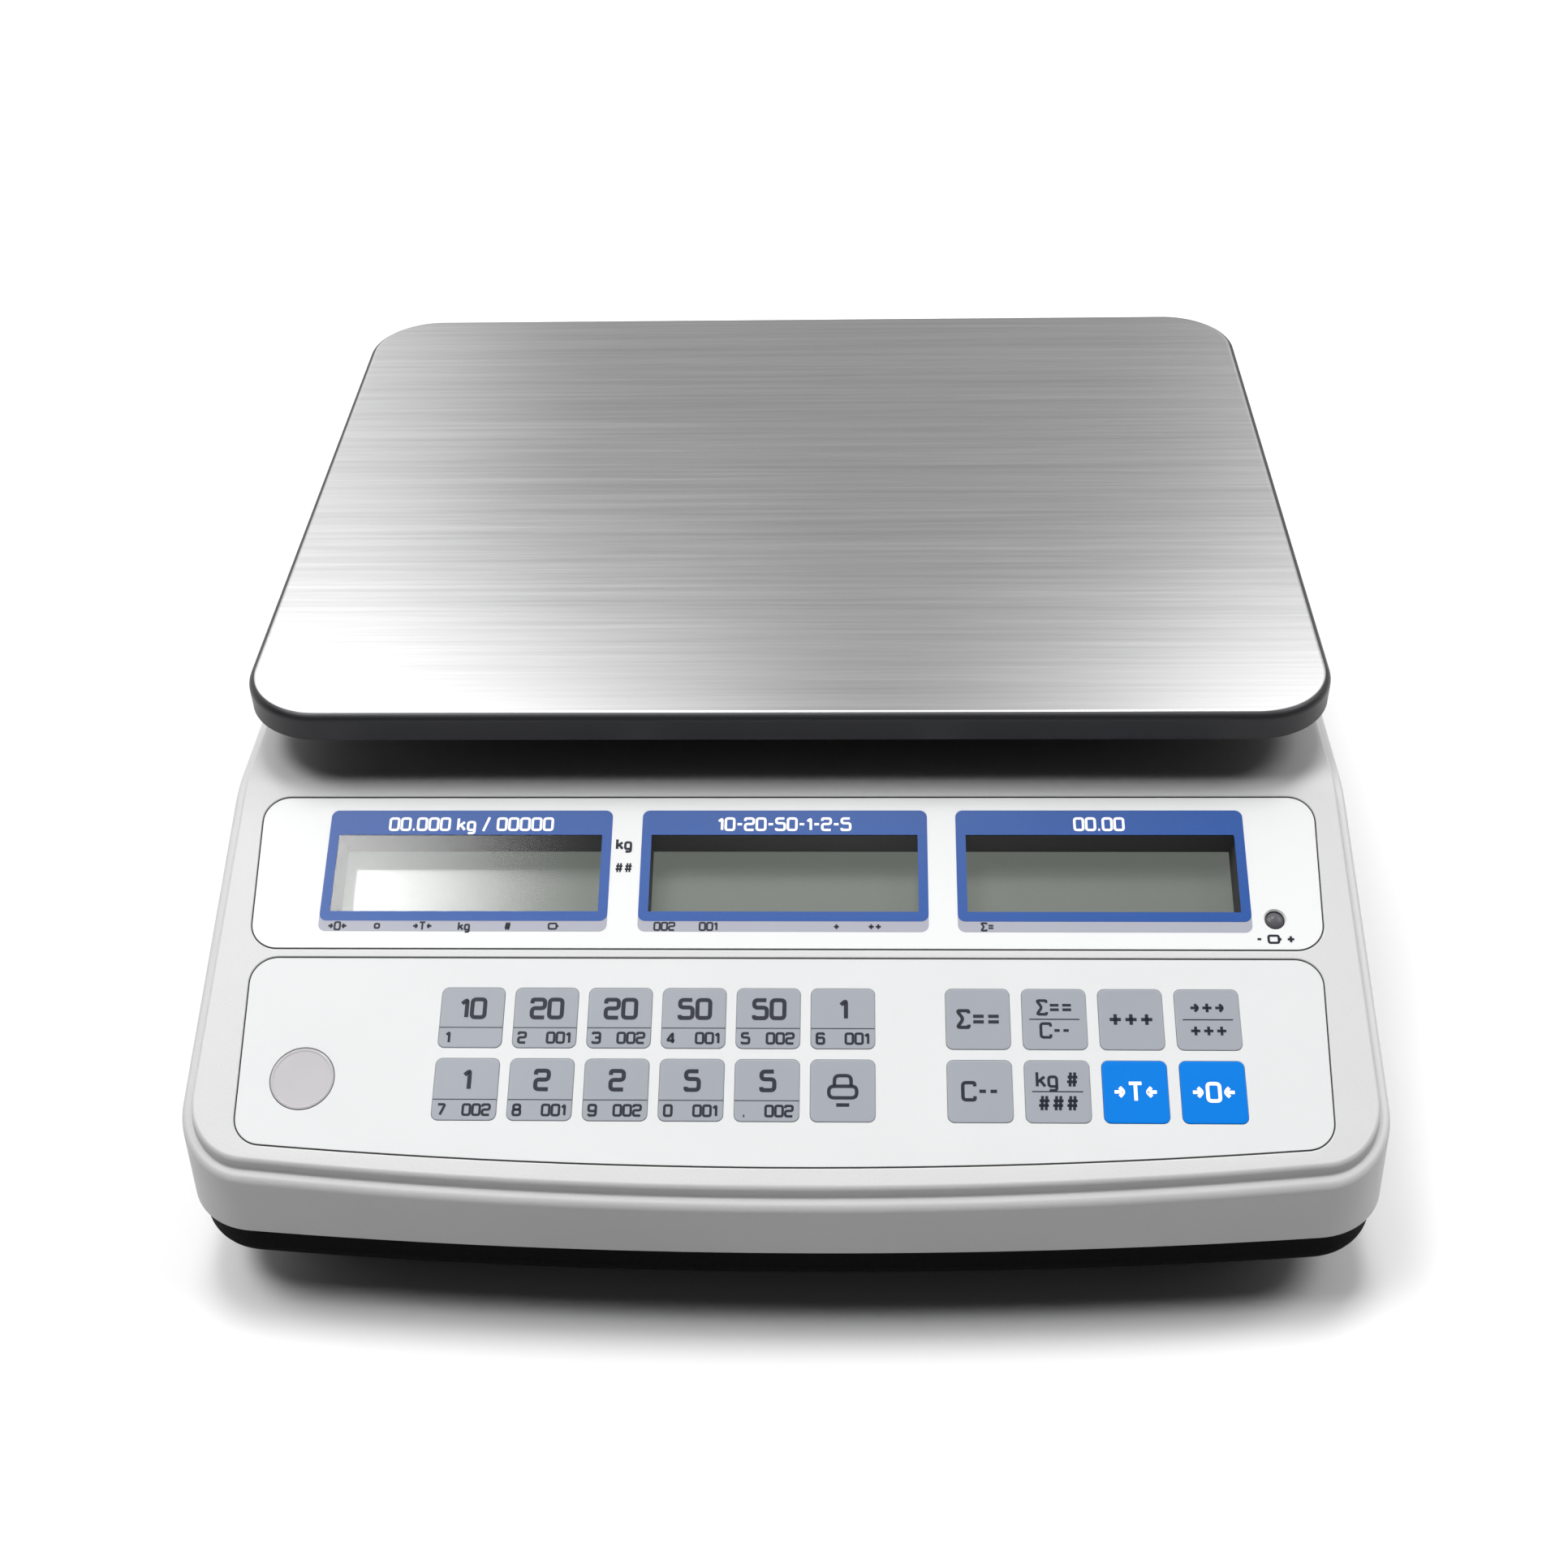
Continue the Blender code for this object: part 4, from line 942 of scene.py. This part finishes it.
def build_lcds():
    """Glass in a dark bezel with its row of contact pins along the top edge."""
    for side, spot in zip(("left", "middle", "right"), lcd_centres()):
        face = -WINDOW_DEPTH
        glass = lofted(lambda grow: rectangle(76.0 + 2 * grow, 28.0 + 2 * grow),
                       [(0, face - 2.8), (0, face - 0.1), (-0.1, face)])
        carrier = block((78.0, 31.0, 4.0), (0, 0, face - 6.0))
        parts = [(glass, "lcd"), (carrier, "nylon")]
        for i in range(22):
            pin = prism(rounded_rectangle(0.9, 0.5, 0.2, 3, (-26.25 + 2.5 * i, 13.2)), face, face + 0.35)
            parts.append((pin, "zinc"))
        panel_piece(f"lcd_{side}_glass", parts, (*spot, 0), "base", "lcd_glass", [f"lcd_{side}"])
        sleeve = prism(rectangle(WINDOW_WIDTH - 0.02, WINDOW_HEIGHT - 0.02), face + 0.05, -OVERLAY_THICK - 0.05)
        sleeve = cut(sleeve, [prism(rectangle(WINDOW_WIDTH - 0.8, WINDOW_HEIGHT - 0.8), -20.0, 5.0)])
        piece(f"lcd_{side}_gasket", (on_panel(sleeve, (*spot, 0)), "gasket"), "base", "lcd_glass")


def build_lamp_and_level():
    dome = [(2.9, -17.6), (2.9, -16.0), (LED_R, -15.9), (LED_R, -1.2)]
    dome += [(LED_R * cos(t), -1.2 + 1.1 * sin(t)) for t in (pi / 2 * i / 8 for i in range(1, 8))]
    lamp = on_panel(turned(dome, 48), (LED_X, LED_Y, 0))
    piece("charge_lamp", (lamp, "lamp"), "base", "led_lens", ["charge_led"])
    disc = [(-0.05, -OVERLAY_THICK), (-0.05, -0.12), (-0.16, 0.02), (-0.45, 0.1), (-0.9, 0.1), (-1.0, 0.04)]
    window = on_panel(turned(grown(LEVEL_R, disc), 96), (LEVEL_X, LEVEL_Y, 0))
    piece("level_lens", (window, "level_lens"), "base", "clear_lens", ["level_window"])


# ---- weighing platform ----

def pan_ring(inset, z):
    size = 2 * PAN_HALF - 2 * inset, PAN_REAR - PAN_FRONT - 2 * inset
    return [(x, y, z) for x, y in rounded_rectangle(*size, PAN_CORNER - inset, 20, (0, PAN_Y))]


def weighing_pan():
    """Folded sheet: a flat top, a rounded edge and a short skirt, one sheet thick."""
    foot = PAN_TOP - PAN_SKIRT
    outer = [pan_ring(0.2, foot), pan_ring(0.0, foot + 0.2)]
    inner = [pan_ring(PAN_SHEET - 0.2, foot), pan_ring(PAN_SHEET, foot + 0.2)]
    steps = 10
    for i in range(steps + 1):
        swing = pi / 2 * i / steps
        across, down = 1 - cos(swing), 1 - sin(swing)
        outer.append(pan_ring(PAN_EDGE * across, PAN_TOP - PAN_EDGE * down))
        fold = PAN_EDGE - PAN_SHEET
        inner.append(pan_ring(PAN_SHEET + fold * across, PAN_TOP - PAN_SHEET - fold * down))
    return skin(outer[::-1] + inner)


def build_platform():
    piece("pan_sheet", (weighing_pan(), "steel"), "pan", "stainless", ["weighing_pan"])
    refined("pan_spider", "cast", "platform", "cast_aluminium", 1.0)
    refined("platform_post", "machined", "platform", "cell_aluminium", 0.6)
    bolts = [moved(screw_head(3.6, 2.4), (x, POST_Y + y, 105.0)) for x in (-7.0, 7.0) for y in (-7.0, 7.0)]
    piece("spider_bolts", (merged(bolts), "zinc"), "platform", "zinc_steel")
    for spot in foot_spots():
        node = f"pan_pad_{spot}"
        low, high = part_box(node)
        centre = (low + high) / 2 / MM
        base, top = low.z / MM, high.z / MM
        rings = [(7.4, base), (8.0, base + 0.6), (8.0, base + 3.4), (7.5, base + 4.0), (6.6, base + 4.4),
                 (6.2, top - 1.2), (5.6, top - 0.3), (5.0, top)]
        pad = turned(rings, 48, (centre.x, centre.y))
        piece(f"{node}_moulded", (pad, "rubber"), "platform", "rubber", [node])


# ---- feet ----

def foot_wheel():
    """A fluted thumbwheel on a threaded stud that goes up into the base."""
    low, high = SOLE_HEIGHT + 0.3, BASE_BOTTOM - 0.3

    def outline(grow=0.0):
        points = []
        for i in range(144):
            turn = 2 * pi * i / 144
            radius = 14.45 + 0.55 * tanh(3.0 * cos(18 * turn)) / tanh(3.0)
            points.append(((radius + grow) * cos(turn), (radius + grow) * sin(turn)))
        return points

    edge = [(-0.9, 0.0), (-0.3, 0.3), (0.0, 0.9)]
    rims = [(grow, low + z) for grow, z in edge] + [(grow, high - z) for grow, z in reversed(edge)]
    wheel = lofted(outline, rims)
    stud = [(4.0, high - 0.5)]
    z = high
    while z < 31.0:
        stud += [(3.4, z), (4.0, z + 0.6)]
        z += 1.25
    stud += [(3.4, 32.2), (2.8, 33.0)]
    return merged([wheel, turned(stud, 32)])


def build_feet():
    sole = [(15.4, 0.0), (15.9, 0.0), (16.6, 0.35), (17.0, 1.0), (17.0, 1.5), (16.7, 1.7), (16.7, 2.0),
            (17.0, 2.2), (17.0, 3.3), (16.7, 3.9), (15.6, 4.8), (15.0, SOLE_HEIGHT)]
    for name, (x, y) in foot_spots().items():
        piece(f"sole_{name}_moulded", (turned(sole, 72, (x, y)), "rubber"), f"sole_{name}", "rubber",
              [f"foot_sole_{name}"])
        piece(f"stud_{name}_wheel", (moved(foot_wheel(), (x, y, 0)), "nylon"), f"stud_{name}", "black_plastic",
              [f"foot_stud_{name}"])


# ---- rear sockets ----

def mains_inlet():
    flange = prism(rounded_rectangle(33.0, 26.0, 2.0, 6), 0.3, 2.2)
    body = fused(flange, [prism(rectangle(27.2, 19.8), -19.0, 1.0)])
    mouth = [(12.2, -8.0), (12.2, 4.0), (8.6, 8.0), (-8.6, 8.0), (-12.2, 4.0), (-12.2, -8.0)]
    return cut(body, [prism(mouth, -15.0, 8.0)])


def inlet_blades():
    spots = ((0, 3.2), (-7, -2.4), (7, -2.4))
    return [prism(rounded_rectangle(2.0, 4.0, 0.5, 3, spot), -15.6, -4.6) for spot in spots]


def rocker_mesh():
    """A shallow V with a crowned face; x is across and y is outward."""
    side = [(-6.4, -2.0), (6.4, -2.0)]
    side += [(7.6, 4.2), (5.0, 3.75), (2.5, 3.3), (0.0, 3.0), (-2.5, 3.3), (-5.0, 3.75), (-7.6, 4.2)]
    return skin([[(x, b, a) for a, b in side] for x in (-4.6, 4.6)])


def build_sockets():
    inlet = (INLET_X, SOCKET_PANEL_Y, SOCKET_Z)
    piece("inlet_body", (upright(mains_inlet(), inlet), "nylon"), "base", "black_plastic", ["mains_inlet"], 0.3)
    piece("inlet_blades", (upright(merged(inlet_blades()), inlet), "zinc"), "base", "zinc_steel", (), 0.2)
    refined("switch_frame", "nylon", "base", "black_plastic", 0.35)
    pivot = (SWITCH_X, SOCKET_PANEL_Y - 2.0, SOCKET_Z)
    cap = rocker_mesh()
    lean = atan2(1.2, 7.6)  # each half of the V rises 1.2 over its length of 7.6
    marks = []
    for sign, height in ((1, 3.9), (-1, -3.9)):
        shape = prism(rectangle(0.7, 3.0), 0.0, 0.12)
        if sign < 0:
            shape = cut(prism(circle(1.6, 32), 0.0, 0.12), [prism(circle(1.0, 32), -1.0, 1.0)])
        face = Matrix.Translation(Vector((0, 3.0 + abs(height) * 1.2 / 7.6 - 0.03, height)) * MM)
        shape.transform(face @ Matrix.Rotation(sign * lean, 4, "X") @ Matrix.Rotation(-pi / 2, 4, "X"))
        marks.append(shape)
    parts = [(cap, "nylon")] + [(mark, "white_print") for mark in marks]
    parts = [(moved(mesh, pivot, (ROCKER_REST, "X")), finish) for mesh, finish in parts]
    piece("rocker_cap", parts, "rocker", "black_plastic", ["switch_rocker"], 0.25)
    build_serial()


def build_serial():
    """A nine-way plug: plated shell, insulator with pins, and two jack posts."""
    spot = (SERIAL_X, SOCKET_PANEL_Y, SOCKET_Z)

    def shell(grow=0.0):
        top, bottom, high = 8.6 + grow, 7.2 + grow, 4.2 + grow
        return [(top, high), (-top, high), (-bottom, -high), (bottom, -high)]

    flange = prism(rounded_rectangle(31.0, 12.6, 1.5, 6), 0.3, 1.5)
    body = cut(fused(flange, [prism(shell(), -9.0, 6.0)]), [prism(shell(-0.7), 1.0, 9.0)])
    parts = [(body, "zinc"), (prism(shell(-0.75), 0.6, 1.6), "nylon")]
    for i in range(9):
        x, y = (-5.5 + 2.76 * i, 1.4) if i < 5 else (-4.15 + 2.76 * (i - 5), -1.4)
        parts.append((turned([(0.5, 1.2), (0.5, 5.0), (0.25, 5.4)], 12, (x, y)), "gold"))
    for x in (-12.4, 12.4):
        post = cut(prism(circle(2.6, 6, (x, 0)), 1.4, 5.4), [turned([(1.3, 2.0), (1.3, 6.0)], 16, (x, 0))])
        parts.append((post, "zinc"))
    piece("serial_plug", [(upright(mesh, spot), finish) for mesh, finish in parts], "base", "zinc_steel",
          ["serial_port"], 0.12)


def carry_over():
    """The hidden CAD pieces keep their shapes and get finishes."""
    for node, finish in CARRIED.items():
        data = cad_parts[node].data
        data.materials.clear()
        data.materials.append(FINISH[finish])


# ---- studio ----

WORLD_FRONT, FRONT_HIGH, WORLD_BACK = 0.015, 0.07, 0.41
LEFT_BANK, RIGHT_BANK = 0.7, 0.38
BAND_MIDDLE, BAND_SIDES = 0.2, 1.45
OVERHEAD, OVERHEAD_SPREAD = 24.0, radians(15.0)
CAMERA_SPOT = (0.0188, -0.4951, 0.4469)
CAMERA_ANGLES = (39.34, -2.53, -1.64)


def build_floor():
    side = 9000
    mesh = closed_mesh([(-side, -side, 0), (side, -side, 0), (side, side, 0), (-side, side, 0)], [(0, 1, 2, 3)])
    mesh.materials.append(floor_finish())
    floor = shown("floor", mesh)
    floor.location.z = -0.0002


def overhead_direction(lean, back):
    """Upward, leaning to the left and back (away from the viewer) by angles in degrees."""
    return Vector((-tan(radians(lean)), tan(radians(back)), 1.0)).normalized()


def add_sky_lamp(name, lean, back, strength, spread):
    """A broad distant lamp overhead."""
    data = bpy.data.lights.new(name, "SUN")
    data.energy = strength
    data.angle = radians(spread)
    light = shown(name, data)
    light.rotation_euler = (-overhead_direction(lean, back)).to_track_quat("-Z", "Y").to_euler()


def build_world():
    """Dim in front; behind, a grey wall with a bright bank at each side and a band above it."""
    world = bpy.data.worlds.new("studio")
    world.use_nodes = True
    sky = Wiring(world.node_tree)
    split = sky.add("ShaderNodeSeparateXYZ", {"Vector": sky.add("ShaderNodeTexCoord").outputs["Generated"]})
    x, y, z = (split.outputs[axis] for axis in "XYZ")

    depth = sky.math("MAXIMUM", y, 0.05)
    aside, above = sky.math("DIVIDE", x, depth), sky.math("DIVIDE", z, depth)
    level = sky.ramp(y, -0.3, 0.45, WORLD_FRONT, WORLD_BACK)
    high = sky.math("MULTIPLY", sky.ramp(y, -0.5, 0.0, 1.0, 0.0), sky.ramp(z, 0.12, 0.3, 0.0, FRONT_HIGH))
    level = sky.math("ADD", level, high)
    left, right = sky.ramp(aside, -0.34, -0.13, LEFT_BANK, 0.0), sky.ramp(aside, 0.14, 0.3, 0.0, RIGHT_BANK)
    banks = sky.math("ADD", left, right)
    middle = sky.math("ABSOLUTE", sky.math("ADD", aside, -0.02))
    band = sky.ramp(middle, 0.0, 0.24, BAND_MIDDLE, BAND_SIDES)
    band = sky.math("MULTIPLY", sky.ramp(above, 0.7, 0.76, 0.0, 1.0), band)
    behind = sky.math("MULTIPLY", sky.math("ADD", banks, band), sky.ramp(y, 0.05, 0.4, 0.0, 1.0))
    parts = [sky.math("MULTIPLY", axis, share) for axis, share in zip((x, y, z), overhead_direction(22.5, 2.0))]
    along = sky.math("ADD", sky.math("ADD", parts[0], parts[1]), parts[2])
    overhead = sky.ramp(along, cos(OVERHEAD_SPREAD), 1.0, 0.0, OVERHEAD)

    white = grey(1.0)
    strength = sky.math("ADD", sky.math("ADD", level, behind), overhead)
    around = sky.add("ShaderNodeBackground", {"Color": white, "Strength": strength}).outputs["Background"]
    seen = sky.add("ShaderNodeBackground", {"Color": white}).outputs["Background"]
    to_camera = sky.add("ShaderNodeLightPath").outputs["Is Camera Ray"]
    mix = sky.add("ShaderNodeMixShader", {0: to_camera, 1: around, 2: seen})
    sky.feed(world.node_tree.nodes["World Output"].inputs["Surface"], mix.outputs["Shader"])
    bpy.context.scene.world = world


def build_lights():
    build_world()
    add_sky_lamp("top", 0.0, 13.0, 2.1, 15.0)
    add_sky_lamp("fill", -36.0, 8.0, 1.5, 24.0)
    bpy.context.scene.view_settings.view_transform = "Standard"


def build_camera():
    """Looks down at the panel from in front, a little from the right."""
    pitch, yaw, roll = (radians(angle) for angle in CAMERA_ANGLES)
    data = bpy.data.cameras.new("view")
    data.sensor_width, data.lens, data.clip_start = 36.0, 47.53, 0.01
    camera = shown("view", data)
    turn = Matrix.Rotation(-yaw, 4, "Z") @ Matrix.Rotation(pi / 2 - pitch, 4, "X")
    camera.matrix_world = Matrix.Translation(CAMERA_SPOT) @ (turn @ Matrix.Rotation(roll, 4, "Z"))
    bpy.context.scene.camera = camera


for build in (build_housing, build_keys, build_keypad, build_display, build_lamp_and_level, build_platform,
              build_feet, build_sockets, carry_over, build_floor, build_lights, build_camera):
    build()
